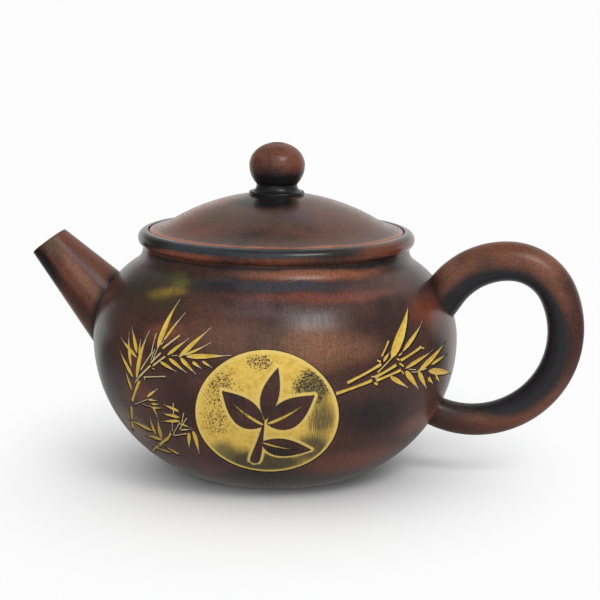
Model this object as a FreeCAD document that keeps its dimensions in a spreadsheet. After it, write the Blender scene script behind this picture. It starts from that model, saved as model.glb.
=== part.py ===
"""Round clay teapot with an inset lid, built piece by piece as a potter lutes it together.

Frame: millimetres, +Z up, the pot axis is Z and the pot stands on Z = 0.
The spout points along -X, the handle along +X and the round carved panel faces -Y.
"""
import FreeCAD
import Part
import math
import os
import Sketcher

Vector = FreeCAD.Vector

# Every size that can be set by itself: name, value in millimetres or degrees, meaning.
SIZES = [
    ("belly_radius", 48.5, "outer radius of the belly at its widest line"),
    ("belly_height", 35.6, "height of the widest line above the table"),
    ("base_radius", 24.0, "outer radius of the flat base"),
    ("base_thickness", 3.0, "thickness of the base disc"),
    ("base_rim", 4.5, "width of the rim on which the base stands"),
    ("base_dish", 1.0, "depth of the dish pressed into the underside"),
    ("wall_thickness", 3.0, "thickness of the belly wall"),
    ("shoulder_curve", 24.0, "section radius of the shoulder"),
    ("slab_turn", 11.5, "turn of the shoulder arc that the shoulder slab takes, degrees"),
    ("neck_curve", 4.5, "section radius of the hollow under the mouth ring"),
    ("lid_radius", 33.7, "radius of the lid edge"),
    ("lid_gap", 0.3, "gap all round the lid edge"),
    ("lid_edge", 2.8, "height of the lid edge"),
    ("lid_edge_round", 0.5, "rounding of the upper lid edge"),
    ("brim_width", 6.7, "width of the hollow brim of the lid"),
    ("brim_curve", 24.6, "section radius of that brim"),
    ("dome_curve", 54.0, "section radius of the lid dome"),
    ("lid_thickness", 3.0, "thickness of the lid at the vent"),
    ("lid_step", 1.6, "height of the lid behind the flange before its hollow starts"),
    ("seat_depth", 2.85, "depth of the lid seat below the top of the mouth ring"),
    ("seat_width", 3.4, "width of the ledge that carries the lid"),
    ("ring_lip", 0.55, "width of the flat between lid seat and roll"),
    ("ring_roll", 2.1, "section radius of the rolled outside of the mouth ring"),
    ("ring_overhang", 1.35, "distance by which the roll stands out from the neck"),
    ("ring_height", 4.7, "height of the mouth ring above the wall"),
    ("flange_gap", 0.45, "gap between the lid flange and the mouth"),
    ("flange_wall", 2.6, "thickness of the lid flange"),
    ("flange_depth", 8.5, "depth of the lid flange"),
    ("flange_bevel", 0.8, "bevel at the lower edge of the lid flange"),
    ("collar_radius", 7.3, "radius of the knob collar"),
    ("collar_height", 0.95, "height of the knob collar at its edge"),
    ("collar_round", 0.4, "rounding of the collar edge"),
    ("knob_foot", 0.95, "distance by which the knob foot stands out from its neck"),
    ("knob_neck_radius", 5.35, "radius of the knob neck"),
    ("knob_radius", 7.35, "radius of the knob ball"),
    ("knob_stem", 6.85, "height of the widest line of the knob above its collar"),
    ("knob_crown", 6.0, "height of the knob above its widest line"),
    ("vent_radius", 1.2, "radius of the vent through knob and lid"),
    ("vent_mouth", 1.8, "radius of the vent at the top of the knob"),
    ("vent_funnel", 2.2, "depth of the funnel at the top of the vent"),
    ("spout_slope", 45.4, "slope of the spout axis, degrees"),
    ("spout_reach", 14.3, "distance of the spout lip from the belly"),
    ("spout_drop", 5.45, "depth of the middle of the spout lip below the top of the mouth ring"),
    ("spout_wall", 1.8, "thickness of the spout at its lip"),
    ("spout_taper", 9.0, "half angle of the spout cone, degrees"),
    ("lip_tilt", 7.3, "tilt of the lip out of the square cut, degrees"),
    ("lip_round", 0.5, "rounding of the lip edges"),
    ("spout_bore_radius", 3.5, "radius of the straight bore behind the lip"),
    ("spout_bore_length", 10.0, "length of that straight bore"),
    ("spout_root_bore", 6.4, "radius of the bore at the belly"),
    ("strainer_radius", 10.0, "outer radius of the ball strainer"),
    ("strainer_wall", 1.7, "thickness of the ball strainer"),
    ("strainer_sink", 2.0, "depth of the ball centre behind the inside of the wall"),
    ("strainer_hole", 1.1, "radius of one strainer hole"),
    ("inner_ring_tilt", 24.0, "tilt of the inner ring of strainer holes, degrees"),
    ("outer_ring_tilt", 48.0, "tilt of the outer ring of strainer holes, degrees"),
    ("handle_standoff", 4.0, "distance of the handle bow centre from the belly"),
    ("handle_lift", 4.2, "height of the handle bow centre above the widest line"),
    ("handle_bow", 24.4, "radius of the large bow of the handle"),
    ("handle_crest", 14.0, "radius of the tight bow at the top of the handle"),
    ("handle_turn", 25.0, "angle at which the large bow meets the tight one, degrees"),
    ("handle_rise", 20.0, "radius of the bow from the crest down to the upper root"),
    ("handle_pitch", 55.0, "slope of the straight end of the upper root, degrees"),
    ("handle_root_sink", 10.0, "length of that straight end, most of it inside the belly"),
    ("handle_tail_sink", 8.0, "depth to which the lower root runs in before trimming"),
    ("handle_root_radius", 5.6, "section radius of the handle at its upper root"),
    ("handle_tail_radius", 4.0, "section radius of the handle at its lower root"),
    ("panel_radius", 17.8, "radius of the round carved panel"),
    ("panel_turn", 7.6, "turn of the panel from the front towards the handle, degrees"),
    ("panel_tilt", 18.7, "slope of the panel below the widest line, degrees"),
    ("panel_depth", 0.6, "depth of the panel carved into the wall"),
    ("panel_fill", 0.4, "thickness of the gold fill in the panel"),
]
INNER_RING_HOLES = 6
OUTER_RING_HOLES = 12

document = FreeCAD.newDocument("ClayTeapot")
sizes = document.addObject("Spreadsheet::Sheet", "sizes")
for row, (alias, amount, meaning) in enumerate(SIZES, start=1):
    sizes.set(f"A{row}", meaning)
    sizes.set(f"B{row}", str(amount))
    sizes.setAlias(f"B{row}", alias)
document.recompute()


def size(name):
    """The cell of one size, for use inside a longer expression."""
    return f"sizes.{name}"


def worked_out(expression):
    """The present value of an expression of sizes."""
    return float(sizes.evalExpression(expression))


# Expressions shared by pieces that meet each other, from the lid outwards and downwards.
SEAT_RADIUS = f"({size('lid_radius')} + {size('lid_gap')})"
MOUTH_RADIUS = f"({SEAT_RADIUS} - {size('seat_width')})"
ROLL_CENTRE = f"({SEAT_RADIUS} + {size('ring_lip')})"
NECK_RADIUS = f"({ROLL_CENTRE} + {size('ring_roll')} - {size('ring_overhang')})"

BELLY_IN = f"({size('belly_radius')} - {size('base_radius')})"
BELLY_CURVE = f"(({BELLY_IN}^2 + {size('belly_height')}^2) / (2 * {BELLY_IN}))"
BELLY_CENTRE = f"({size('belly_radius')} - {BELLY_CURVE})"
SHOULDER_CENTRE = f"({size('belly_radius')} - {size('shoulder_curve')})"
NECK_OUT = f"({NECK_RADIUS} + {size('neck_curve')} - {SHOULDER_CENTRE})"
NECK_REACH = f"({size('shoulder_curve')} + {size('neck_curve')})"
NECK_RISE = f"sqrt({NECK_REACH}^2 - {NECK_OUT}^2)"
WALL_TOP = f"({size('belly_height')} + {NECK_RISE})"
SLAB_SINE = f"sin({size('slab_turn')})"
SLAB_COSINE = f"cos({size('slab_turn')})"
JOINT_ACROSS = f"(({NECK_OUT} * {SLAB_COSINE} + {NECK_RISE} * {SLAB_SINE}) / {NECK_REACH})"
JOINT_UP = f"(({NECK_RISE} * {SLAB_COSINE} - {NECK_OUT} * {SLAB_SINE}) / {NECK_REACH})"

RING_TOP = f"({WALL_TOP} + {size('ring_height')})"
ROLL_SIDE = f"({size('ring_roll')} - {size('ring_overhang')})"
ROLL_END = f"({RING_TOP} - {size('ring_roll')} - sqrt({size('ring_roll')}^2 - {ROLL_SIDE}^2))"
SEAT_HEIGHT = f"({RING_TOP} - {size('seat_depth')})"

LID_EDGE_TOP = f"({SEAT_HEIGHT} + {size('lid_edge')})"
DOME_REACH = f"({size('lid_radius')} - {size('brim_width')})"
DOME_SINE = f"({DOME_REACH} / {size('dome_curve')})"
DOME_COSINE = f"sqrt(1 - {DOME_SINE}^2)"
BRIM_REACH = f"({size('dome_curve')} + {size('brim_curve')})"
BRIM_BACK = f"({BRIM_REACH} * {DOME_SINE} - {size('lid_radius')})"
BRIM_DROP = f"sqrt({size('brim_curve')}^2 - {BRIM_BACK}^2)"
DOME_CENTRE = f"({LID_EDGE_TOP} - {BRIM_REACH} * {DOME_COSINE} + {BRIM_DROP})"
FLANGE_OUT = f"({MOUTH_RADIUS} - {size('flange_gap')})"
FLANGE_IN = f"({FLANGE_OUT} - {size('flange_wall')})"
HOLLOW_FOOT = f"({SEAT_HEIGHT} + {size('lid_step')})"
HOLLOW_TOP = f"({DOME_CENTRE} + {size('dome_curve')} - {size('lid_thickness')})"
HOLLOW_RISE = f"({HOLLOW_TOP} - {HOLLOW_FOOT})"
HOLLOW_CURVE = f"(({FLANGE_IN}^2 + {HOLLOW_RISE}^2) / (2 * {HOLLOW_RISE}))"
HOLLOW_AT_VENT = f"({HOLLOW_TOP} - {HOLLOW_CURVE} + sqrt({HOLLOW_CURVE}^2 - {size('vent_radius')}^2))"


def dome_height(radius):
    """Height of the lid dome above the table at a radius."""
    return f"({DOME_CENTRE} + sqrt({size('dome_curve')}^2 - {radius}^2))"


COLLAR_TOP = f"({dome_height(size('collar_radius'))} + {size('collar_height')})"
KNOB_MIDDLE = f"({COLLAR_TOP} + {size('knob_stem')})"
KNOB_TOP = f"({KNOB_MIDDLE} + {size('knob_crown')})"
KNOB_NECK = f"({KNOB_MIDDLE} - sqrt({size('knob_radius')}^2 - {size('knob_neck_radius')}^2))"
KNOB_FOOT_RADIUS = f"({size('knob_neck_radius')} + {size('knob_foot')})"
KNOB_NECK_RISE = f"({KNOB_NECK} - {COLLAR_TOP})"
KNOB_FLARE = f"(({size('knob_foot')}^2 + {KNOB_NECK_RISE}^2) / (2 * {size('knob_foot')}))"

LIP_ACROSS = f"(-{size('belly_radius')} - {size('spout_reach')})"
LIP_HEIGHT = f"({RING_TOP} - {size('spout_drop')})"
AXIS_ACROSS = f"cos({size('spout_slope')})"
AXIS_DOWN = f"sin({size('spout_slope')})"
FROM_SHOULDER = (
    f"({LIP_ACROSS} + {SHOULDER_CENTRE})",
    f"({LIP_HEIGHT} - {size('belly_height')})",
)
AXIS_NEAREST = f"({FROM_SHOULDER[1]} * {AXIS_DOWN} - {FROM_SHOULDER[0]} * {AXIS_ACROSS})"
AXIS_ASIDE = f"({FROM_SHOULDER[0]} * {AXIS_DOWN} + {FROM_SHOULDER[1]} * {AXIS_ACROSS})"
SPOUT_RUN = f"({AXIS_NEAREST} - sqrt({size('shoulder_curve')}^2 - {AXIS_ASIDE}^2))"
INNER_SHOULDER = f"({size('shoulder_curve')} - {size('wall_thickness')})"
INNER_RUN = f"({AXIS_NEAREST} - sqrt({INNER_SHOULDER}^2 - {AXIS_ASIDE}^2))"
STRAINER_SINE = f"(({FROM_SHOULDER[1]} - {INNER_RUN} * {AXIS_DOWN}) / {INNER_SHOULDER})"
STRAINER_RISE = f"(asin({STRAINER_SINE}) / 1 deg)"
STRAINER_OUT = f"({INNER_SHOULDER} + {size('strainer_sink')})"
STRAINER_ACROSS = f"(-{SHOULDER_CENTRE} - {STRAINER_OUT} * cos({STRAINER_RISE}))"
STRAINER_HEIGHT = f"({size('belly_height')} + {STRAINER_OUT} * sin({STRAINER_RISE}))"


def origin_plane(body, role):
    """One of the three base planes of a body."""
    return next(plane for plane in body.Origin.OriginFeatures if plane.Role == role)


def new_sketch(body, role, label):
    """An empty sketch on a base plane of a body."""
    sketch = body.newObject("Sketcher::SketchObject", label)
    sketch.AttachmentSupport = [(origin_plane(body, role), "")]
    sketch.MapMode = "FlatFace"
    return sketch


def hold(sketch, constraint, expression):
    """Add one dimension to a sketch and let the expression drive it."""
    index = sketch.addConstraint(constraint)
    sketch.setExpression(f"Constraints[{index}]", expression)


def hold_point(sketch, edge, end, across, along):
    """Place the start (1) or end (2) of an edge by two expressions."""
    for kind, expression, axis in (("DistanceX", across, -2), ("DistanceY", along, -1)):
        if expression == "0":
            sketch.addConstraint(Sketcher.Constraint("PointOnObject", edge, end, axis))
        else:
            amount = worked_out(expression)
            hold(sketch, Sketcher.Constraint(kind, -1, 1, edge, end, amount), expression)


def arc_between(start, finish, radius, turn):
    """Shorter arc from start to finish; turn is +1 anticlockwise and -1 clockwise."""
    chord = finish - start
    aside = math.sqrt(max(radius * radius - chord.Length * chord.Length / 4.0, 0.0))
    square_to_chord = Vector(-chord.y, chord.x, 0).normalize()
    centre = (start + finish) * 0.5 + square_to_chord * aside * turn
    first = math.atan2(start.y - centre.y, start.x - centre.x)
    last = math.atan2(finish.y - centre.y, finish.x - centre.x)
    if turn < 0:
        first, last = last, first
    return Part.ArcOfCircle(Part.Circle(centre, Vector(0, 0, 1), radius), first, last)


def draw_outline(sketch, corners, closed=True):
    """Draw lines and arcs through corners given as (across, along) or (across, along, radius, turn).

    The radius and turn of a corner belong to the edge that leaves it.
    """
    points = [Vector(worked_out(corner[0]), worked_out(corner[1]), 0) for corner in corners]
    count = len(corners) if closed else len(corners) - 1
    ends = []
    for index in range(count):
        start = points[index]
        finish = points[(index + 1) % len(points)]
        if len(corners[index]) == 4:
            radius, turn = corners[index][2:]
            edge = sketch.addGeometry(arc_between(start, finish, worked_out(radius), turn))
            hold(sketch, Sketcher.Constraint("Radius", edge, worked_out(radius)), radius)
            ends.append((edge, 1, 2) if turn > 0 else (edge, 2, 1))
        else:
            edge = sketch.addGeometry(Part.LineSegment(start, finish))
            ends.append((edge, 1, 2))
    for index, (edge, first, last) in enumerate(ends):
        hold_point(sketch, edge, first, *corners[index][:2])
        if index + 1 == count and not closed:
            hold_point(sketch, edge, last, *corners[-1][:2])
        else:
            following = ends[(index + 1) % count]
            meeting = Sketcher.Constraint("Coincident", edge, last, following[0], following[1])
            sketch.addConstraint(meeting)


def draw_circle(sketch, radius):
    """Draw a circle about the sketch origin."""
    circle = Part.Circle(Vector(0, 0, 0), Vector(0, 0, 1), worked_out(radius))
    edge = sketch.addGeometry(circle)
    sketch.addConstraint(Sketcher.Constraint("Coincident", edge, 3, -1, 1))
    hold(sketch, Sketcher.Constraint("Radius", edge, worked_out(radius)), radius)


def new_body(label):
    """An empty body that carries the label of its piece."""
    body = document.addObject("PartDesign::Body", label)
    body.Label = label
    return body


def turn_section(body, corners):
    """Revolve a half section, drawn in the XZ plane, about the Z axis of the body."""
    sketch = new_sketch(body, "XZ_Plane", f"{body.Label}_section")
    draw_outline(sketch, corners)
    turned = body.newObject("PartDesign::Revolution", f"{body.Label}_turned")
    turned.Profile = sketch
    turned.ReferenceAxis = (sketch, ["V_Axis"])
    turned.Angle = 360.0
    sketch.Visibility = False
    document.recompute()
    return turned


def edges_at(feature, across, along):
    """Names of the round edges of a turned feature at a radius and height."""
    radius = worked_out(across)
    height = worked_out(along)
    names = []
    for number, edge in enumerate(feature.Shape.Edges, start=1):
        ring = edge.Curve
        if isinstance(ring, Part.Circle) and abs(ring.Radius - radius) < 1e-4:
            if abs(ring.Center.z - height) < 1e-4:
                names.append(f"Edge{number}")
    return names


def dress_edges(body, kind, feature, names, size_name):
    """Round (Fillet) or bevel (Chamfer) edges of a feature by a size."""
    dressed = body.newObject(f"PartDesign::{kind}", f"{body.Label}_{kind.lower()}")
    dressed.Base = (feature, names)
    setting = "Radius" if kind == "Fillet" else "Size"
    dressed.setExpression(setting, size(size_name))
    document.recompute()
    return dressed


def boolean(kind, label, first, second):
    """Part boolean (Cut, Common or Fuse) of two objects under a label of its own."""
    result = document.addObject(f"Part::{kind}", label)
    result.Label = label
    result.Base = first
    result.Tool = second
    document.recompute()
    return result


def rod(label, radius, height):
    """A Part cylinder along Z, used as a cutting tool."""
    cylinder = document.addObject("Part::Cylinder", label)
    cylinder.setExpression("Radius", radius)
    cylinder.setExpression("Height", height)
    return cylinder


def point_inwards(piece, across, height, slope):
    """Put a piece in the XZ plane with its local Z axis pointing into the pot, down a slope."""
    tilt = f"90 + {slope}"
    piece.Placement.Rotation = FreeCAD.Rotation(Vector(0, 1, 0), worked_out(tilt))
    piece.setExpression(".Placement.Rotation.Angle", tilt)
    piece.setExpression(".Placement.Base.x", across)
    piece.setExpression(".Placement.Base.z", height)


def pot_corners(inset, floor):
    """Half section of a solid pot whose outside lies an inset behind the real one."""
    belly_curve = f"({BELLY_CURVE} - {inset})"
    shoulder_curve = f"({size('shoulder_curve')} - {inset})"
    share = f"({shoulder_curve} / {NECK_REACH})"
    drop = f"({size('belly_height')} - {floor})"
    return [
        ("0", floor),
        (f"({BELLY_CENTRE} + sqrt({belly_curve}^2 - {drop}^2))", floor, belly_curve, 1),
        (f"({size('belly_radius')} - {inset})", size("belly_height"), shoulder_curve, 1),
        (
            f"({SHOULDER_CENTRE} + {NECK_OUT} * {share})",
            f"({size('belly_height')} + {NECK_RISE} * {share})",
            f"({size('neck_curve')} + {inset})",
            -1,
        ),
        (f"({NECK_RADIUS} - {inset})", WALL_TOP),
        ("0", WALL_TOP),
    ]


def joint_corner(inset):
    """Where the joint of wall and shoulder slab lies, an inset behind the outside of the pot."""
    curve = f"({size('shoulder_curve')} - {inset})"
    return (
        f"({SHOULDER_CENTRE} + {curve} * {JOINT_ACROSS})",
        f"({size('belly_height')} + {curve} * {JOINT_UP})",
    )


# Solids that trim other pieces: the outside of the pot, its hollow, and the two panel surfaces.
pot_outside = new_body("pot_outside")
turn_section(pot_outside, pot_corners("0", "0"))
pot_hollow = new_body("pot_hollow")
turn_section(pot_hollow, pot_corners(size("wall_thickness"), size("base_thickness")))
panel_floor = new_body("panel_floor")
turn_section(panel_floor, pot_corners(size("panel_depth"), size("base_thickness")))
panel_face = new_body("panel_face")
face_inset = f"({size('panel_depth')} - {size('panel_fill')})"
turn_section(panel_face, pot_corners(face_inset, size("base_thickness")))

# Round cutter that points square at the middle of the carved panel.
panel_cutter = rod("panel_cutter", size("panel_radius"), size("belly_radius"))
panel_roll = f"90 + {size('panel_tilt')}"
panel_cutter.Placement.Rotation = FreeCAD.Rotation(worked_out(size("panel_turn")), 0.0, worked_out(panel_roll))
panel_cutter.setExpression(".Placement.Rotation.Yaw", size("panel_turn"))
panel_cutter.setExpression(".Placement.Rotation.Roll", panel_roll)
panel_cutter.setExpression(".Placement.Base.x", f"{BELLY_CENTRE} * sin({size('panel_turn')})")
panel_cutter.setExpression(".Placement.Base.y", f"-{BELLY_CENTRE} * cos({size('panel_turn')})")
panel_cutter.setExpression(".Placement.Base.z", size("belly_height"))
document.recompute()

# Belly wall: from base disc to shoulder slab, one wall thick, with the panel and the spout hole cut.
wall_body = new_body("wall_body")
outer = pot_corners("0", size("base_thickness"))
inner = pot_corners(size("wall_thickness"), size("base_thickness"))
joint_outside = joint_corner("0")
joint_inside = joint_corner(size("wall_thickness"))
turn_section(wall_body, [
    outer[1],
    outer[2],
    joint_outside,
    (*joint_inside, inner[2][2], -1),
    (*inner[2][:2], inner[1][2], -1),
    inner[1][:2],
])
panel_waste = boolean("Cut", "panel_waste", panel_cutter, panel_floor)
wall_carved = boolean("Cut", "wall_carved", wall_body, panel_waste)
spout_drill = rod("spout_drill", size("spout_root_bore"), f"{SPOUT_RUN} + {size('belly_radius')} / 3")
point_inwards(spout_drill, LIP_ACROSS, LIP_HEIGHT, size("spout_slope"))
pot_wall = boolean("Cut", "pot_wall", wall_carved, spout_drill)

# Shoulder slab: the domed slab that closes the wall from above, with the mouth cut out of it.
shoulder_slab = new_body("shoulder_slab")
turn_section(shoulder_slab, [
    (*joint_outside, outer[2][2], 1),
    outer[3],
    outer[4],
    (*inner[4], inner[3][2], 1),
    (*inner[3][:2], inner[2][2], -1),
    joint_inside,
])

# Gold fill: the slice of the round cutter between the panel floor and the fill surface.
fill_blank = boolean("Common", "fill_blank", panel_cutter, panel_face)
medallion_fill = boolean("Cut", "medallion_fill", fill_blank, panel_floor)

# Base disc: closes the wall from below; its edge carries on the belly curve.
base_disc = new_body("base_disc")
dish_radius = f"({size('base_radius')} - {size('base_rim')})"
turn_section(base_disc, [
    ("0", size("base_dish")),
    (f"({dish_radius} - {size('base_dish')})", size("base_dish")),
    (dish_radius, "0"),
    (size("base_radius"), "0", BELLY_CURVE, 1),
    outer[1][:2],
    ("0", size("base_thickness")),
])

# Mouth ring: a roll on the neck, with the ledge and the rebate that take the lid.
mouth_ring = new_body("mouth_ring")
turn_section(mouth_ring, [
    (MOUTH_RADIUS, WALL_TOP),
    (NECK_RADIUS, WALL_TOP),
    (NECK_RADIUS, ROLL_END, size("ring_roll"), 1),
    (ROLL_CENTRE, RING_TOP),
    (SEAT_RADIUS, RING_TOP),
    (SEAT_RADIUS, SEAT_HEIGHT),
    (MOUTH_RADIUS, SEAT_HEIGHT),
])

# Spout: a bored cone on its own axis, lip cut at a tilt, root trimmed by the outside of the pot.
spout_body = new_body("spout_body")
over_lip = f"(2 * {size('spout_bore_radius')})"
spout_deep = f"({SPOUT_RUN} + {size('spout_root_bore')} * 2)"
tip_radius = f"({size('spout_bore_radius')} + {size('spout_wall')})"
flare = f"tan({size('spout_taper')})"
spout_cone = turn_section(spout_body, [
    (size("spout_bore_radius"), f"(-{over_lip})"),
    (f"({tip_radius} - {over_lip} * {flare})", f"(-{over_lip})"),
    (f"({tip_radius} + {spout_deep} * {flare})", spout_deep),
    (size("spout_root_bore"), spout_deep),
    (size("spout_root_bore"), SPOUT_RUN),
    (size("spout_bore_radius"), size("spout_bore_length")),
])
lip_sketch = new_sketch(spout_body, "XZ_Plane", "lip_line")
lip_half = f"(3 * {tip_radius})"
lip_slant = f"({lip_half} * tan({size('lip_tilt')}))"
draw_outline(lip_sketch, [
    (f"(-{lip_half})", lip_slant),
    (f"(-{lip_half})", f"(-2 * {lip_half})"),
    (lip_half, f"(-2 * {lip_half})"),
    (lip_half, f"(-{lip_slant})"),
])
lip_cut = spout_body.newObject("PartDesign::Pocket", "lip_cut")
lip_cut.Profile = lip_sketch
lip_cut.Type = "ThroughAll"
lip_cut.Midplane = True
document.recompute()
lip_edges = []
for number, edge in enumerate(lip_cut.Shape.Edges, start=1):
    if isinstance(edge.Curve, Part.Ellipse):
        lip_edges.append(f"Edge{number}")
dress_edges(spout_body, "Fillet", lip_cut, lip_edges, "lip_round")
point_inwards(spout_body, LIP_ACROSS, LIP_HEIGHT, size("spout_slope"))
document.recompute()
spout = boolean("Cut", "spout", spout_body, pot_outside)

# Ball strainer: half a hollow ball with rings of radial holes, trimmed to the inside of the wall.
strainer_body = new_body("strainer_body")
ball_inside = f"({size('strainer_radius')} - {size('strainer_wall')})"
ball = turn_section(strainer_body, [
    (ball_inside, "0"),
    (size("strainer_radius"), "0", size("strainer_radius"), 1),
    ("0", size("strainer_radius")),
    ("0", ball_inside, ball_inside, -1),
])


def drill_ring(label, tilt, holes):
    """Drill one tilted radial hole through the ball and repeat it round the ball axis."""
    sketch = new_sketch(strainer_body, "XY_Plane", f"{label}_sketch")
    draw_circle(sketch, size("strainer_hole"))
    sketch.AttachmentOffset = FreeCAD.Placement(
        Vector(0, 0, 0), FreeCAD.Rotation(Vector(0, 1, 0), worked_out(tilt))
    )
    sketch.setExpression(".AttachmentOffset.Rotation.Angle", tilt)
    hole = strainer_body.newObject("PartDesign::Pocket", f"{label}_hole")
    hole.Profile = sketch
    hole.Type = "Length"
    hole.Reversed = True
    hole.setExpression("Length", f"2 * {size('strainer_radius')}")
    document.recompute()
    if holes > 1:
        ring = strainer_body.newObject("PartDesign::PolarPattern", f"{label}_ring")
        ring.Originals = [hole]
        ring.Axis = (ball.Profile[0], ["V_Axis"])
        ring.Angle = 360.0
        ring.Occurrences = holes
        strainer_body.Tip = ring
        document.recompute()


drill_ring("middle", "0", 1)
drill_ring("inner", size("inner_ring_tilt"), INNER_RING_HOLES)
drill_ring("outer", size("outer_ring_tilt"), OUTER_RING_HOLES)
point_inwards(strainer_body, STRAINER_ACROSS, STRAINER_HEIGHT, STRAINER_RISE)
document.recompute()
ball_strainer = boolean("Common", "ball_strainer", strainer_body, pot_hollow)

# Handle: a tapering coil swept along a short root, a rise, a tight crest and a large bow.
handle_body = new_body("handle_body")
bow_across = f"({size('belly_radius')} + {size('handle_standoff')})"
bow_height = f"({size('belly_height')} + {size('handle_lift')})"
turn_across = f"cos({size('handle_turn')})"
turn_up = f"sin({size('handle_turn')})"
bow_less_crest = f"({size('handle_bow')} - {size('handle_crest')})"
crest_across = f"({bow_across} + {bow_less_crest} * {turn_across})"
crest_height = f"({bow_height} + {bow_less_crest} * {turn_up})"
top_height = f"({crest_height} + {size('handle_crest')})"
knee_across = f"({crest_across} - {size('handle_rise')} * sin({size('handle_pitch')}))"
knee_height = f"({top_height} - {size('handle_rise')} * (1 - cos({size('handle_pitch')})))"
root_across = f"({knee_across} - {size('handle_root_sink')} * cos({size('handle_pitch')}))"
root_height = f"({knee_height} - {size('handle_root_sink')} * sin({size('handle_pitch')}))"
tail_across = f"({size('belly_radius')} - {size('handle_tail_sink')})"
tail_height = f"({bow_height} - sqrt({size('handle_bow')}^2 - ({bow_across} - {tail_across})^2))"
handle_path = new_sketch(handle_body, "XZ_Plane", "handle_path")
draw_outline(handle_path, [
    (root_across, root_height),
    (knee_across, knee_height, size("handle_rise"), -1),
    (crest_across, top_height, size("handle_crest"), -1),
    (
        f"({bow_across} + {size('handle_bow')} * {turn_across})",
        f"({bow_height} + {size('handle_bow')} * {turn_up})",
        size("handle_bow"),
        -1,
    ),
    (tail_across, tail_height),
], closed=False)
document.recompute()


def end_circle(label, edge_name, across, along, radius):
    """A circle square to the handle path at one of its ends."""
    here = Vector(worked_out(across), 0, worked_out(along))
    corners = handle_path.Shape.Vertexes
    nearest = min(range(len(corners)), key=lambda index: (corners[index].Point - here).Length)
    sketch = handle_body.newObject("Sketcher::SketchObject", label)
    sketch.AttachmentSupport = [(handle_path, edge_name), (handle_path, f"Vertex{nearest + 1}")]
    sketch.MapMode = "NormalToEdge"
    draw_circle(sketch, radius)
    document.recompute()
    return sketch


root_circle = end_circle("root_circle", "Edge1", root_across, root_height, size("handle_root_radius"))
tail_circle = end_circle("tail_circle", "Edge4", tail_across, tail_height, size("handle_tail_radius"))
handle_coil = handle_body.newObject("PartDesign::AdditivePipe", "handle_coil")
handle_coil.Profile = root_circle
handle_coil.Spine = (handle_path, ["Edge1", "Edge2", "Edge3", "Edge4"])
handle_coil.Transformation = "Multisection"
handle_coil.Sections = [(tail_circle, [""])]
document.recompute()
handle = boolean("Cut", "handle", handle_body, pot_outside)

# Lid disc: dome and hollow brim above, a flat seat and a shallow hollow below.
lid_disc = new_body("lid_disc")
lid_turned = turn_section(lid_disc, [
    (size("vent_radius"), HOLLOW_AT_VENT),
    (size("vent_radius"), dome_height(size("vent_radius")), size("dome_curve"), -1),
    (DOME_REACH, dome_height(DOME_REACH), size("brim_curve"), 1),
    (size("lid_radius"), LID_EDGE_TOP),
    (size("lid_radius"), SEAT_HEIGHT),
    (FLANGE_IN, SEAT_HEIGHT),
    (FLANGE_IN, HOLLOW_FOOT, HOLLOW_CURVE, 1),
])
lid_rim = edges_at(lid_turned, size("lid_radius"), LID_EDGE_TOP)
dress_edges(lid_disc, "Fillet", lid_turned, lid_rim, "lid_edge_round")

# Lid flange: the collar under the lid that keeps it in the mouth when the pot is tipped.
lid_flange = new_body("lid_flange")
flange_foot = f"({SEAT_HEIGHT} - {size('flange_depth')})"
flange_turned = turn_section(lid_flange, [
    (FLANGE_IN, flange_foot),
    (FLANGE_OUT, flange_foot),
    (FLANGE_OUT, SEAT_HEIGHT),
    (FLANGE_IN, SEAT_HEIGHT),
])
flange_edge = edges_at(flange_turned, FLANGE_OUT, flange_foot)
dress_edges(lid_flange, "Chamfer", flange_turned, flange_edge, "flange_bevel")

# Knob collar: a thin disc that follows the dome below and is flat above.
knob_collar = new_body("knob_collar")
collar_turned = turn_section(knob_collar, [
    (size("vent_radius"), COLLAR_TOP),
    (size("vent_radius"), dome_height(size("vent_radius")), size("dome_curve"), -1),
    (size("collar_radius"), dome_height(size("collar_radius"))),
    (size("collar_radius"), COLLAR_TOP),
])
collar_edge = edges_at(collar_turned, size("collar_radius"), COLLAR_TOP)
dress_edges(knob_collar, "Fillet", collar_turned, collar_edge, "collar_round")

# Knob: flared neck and lower half turned, a flatter crown on top, and the vent drilled through.
knob_body = new_body("knob_body")
turn_section(knob_body, [
    ("0", COLLAR_TOP),
    (KNOB_FOOT_RADIUS, COLLAR_TOP, KNOB_FLARE, -1),
    (size("knob_neck_radius"), KNOB_NECK, size("knob_radius"), 1),
    (size("knob_radius"), KNOB_MIDDLE),
    ("0", KNOB_MIDDLE),
])
knob_crown = document.addObject("Part::Ellipsoid", "knob_crown")
knob_crown.setExpression("Radius1", size("knob_crown"))
knob_crown.setExpression("Radius2", size("knob_radius"))
knob_crown.setExpression("Radius3", size("knob_radius"))
knob_crown.Angle1 = 0.0
knob_crown.Angle2 = 90.0
knob_crown.setExpression(".Placement.Base.z", KNOB_MIDDLE)
knob_whole = boolean("Fuse", "knob_whole", knob_body, knob_crown)
vent_drill = rod("vent_drill", size("vent_radius"), f"{KNOB_TOP} - {COLLAR_TOP} + 2")
vent_drill.setExpression(".Placement.Base.z", f"{COLLAR_TOP} - 1")
vent_cone = document.addObject("Part::Cone", "vent_cone")
vent_cone.setExpression("Radius1", size("vent_radius"))
vent_cone.setExpression("Radius2", size("vent_mouth"))
vent_cone.setExpression("Height", size("vent_funnel"))
vent_cone.setExpression(".Placement.Base.z", f"{KNOB_TOP} - {size('vent_funnel')}")
knob_drilled = boolean("Cut", "knob_drilled", knob_whole, vent_drill)
knob = boolean("Cut", "knob", knob_drilled, vent_cone)

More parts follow.
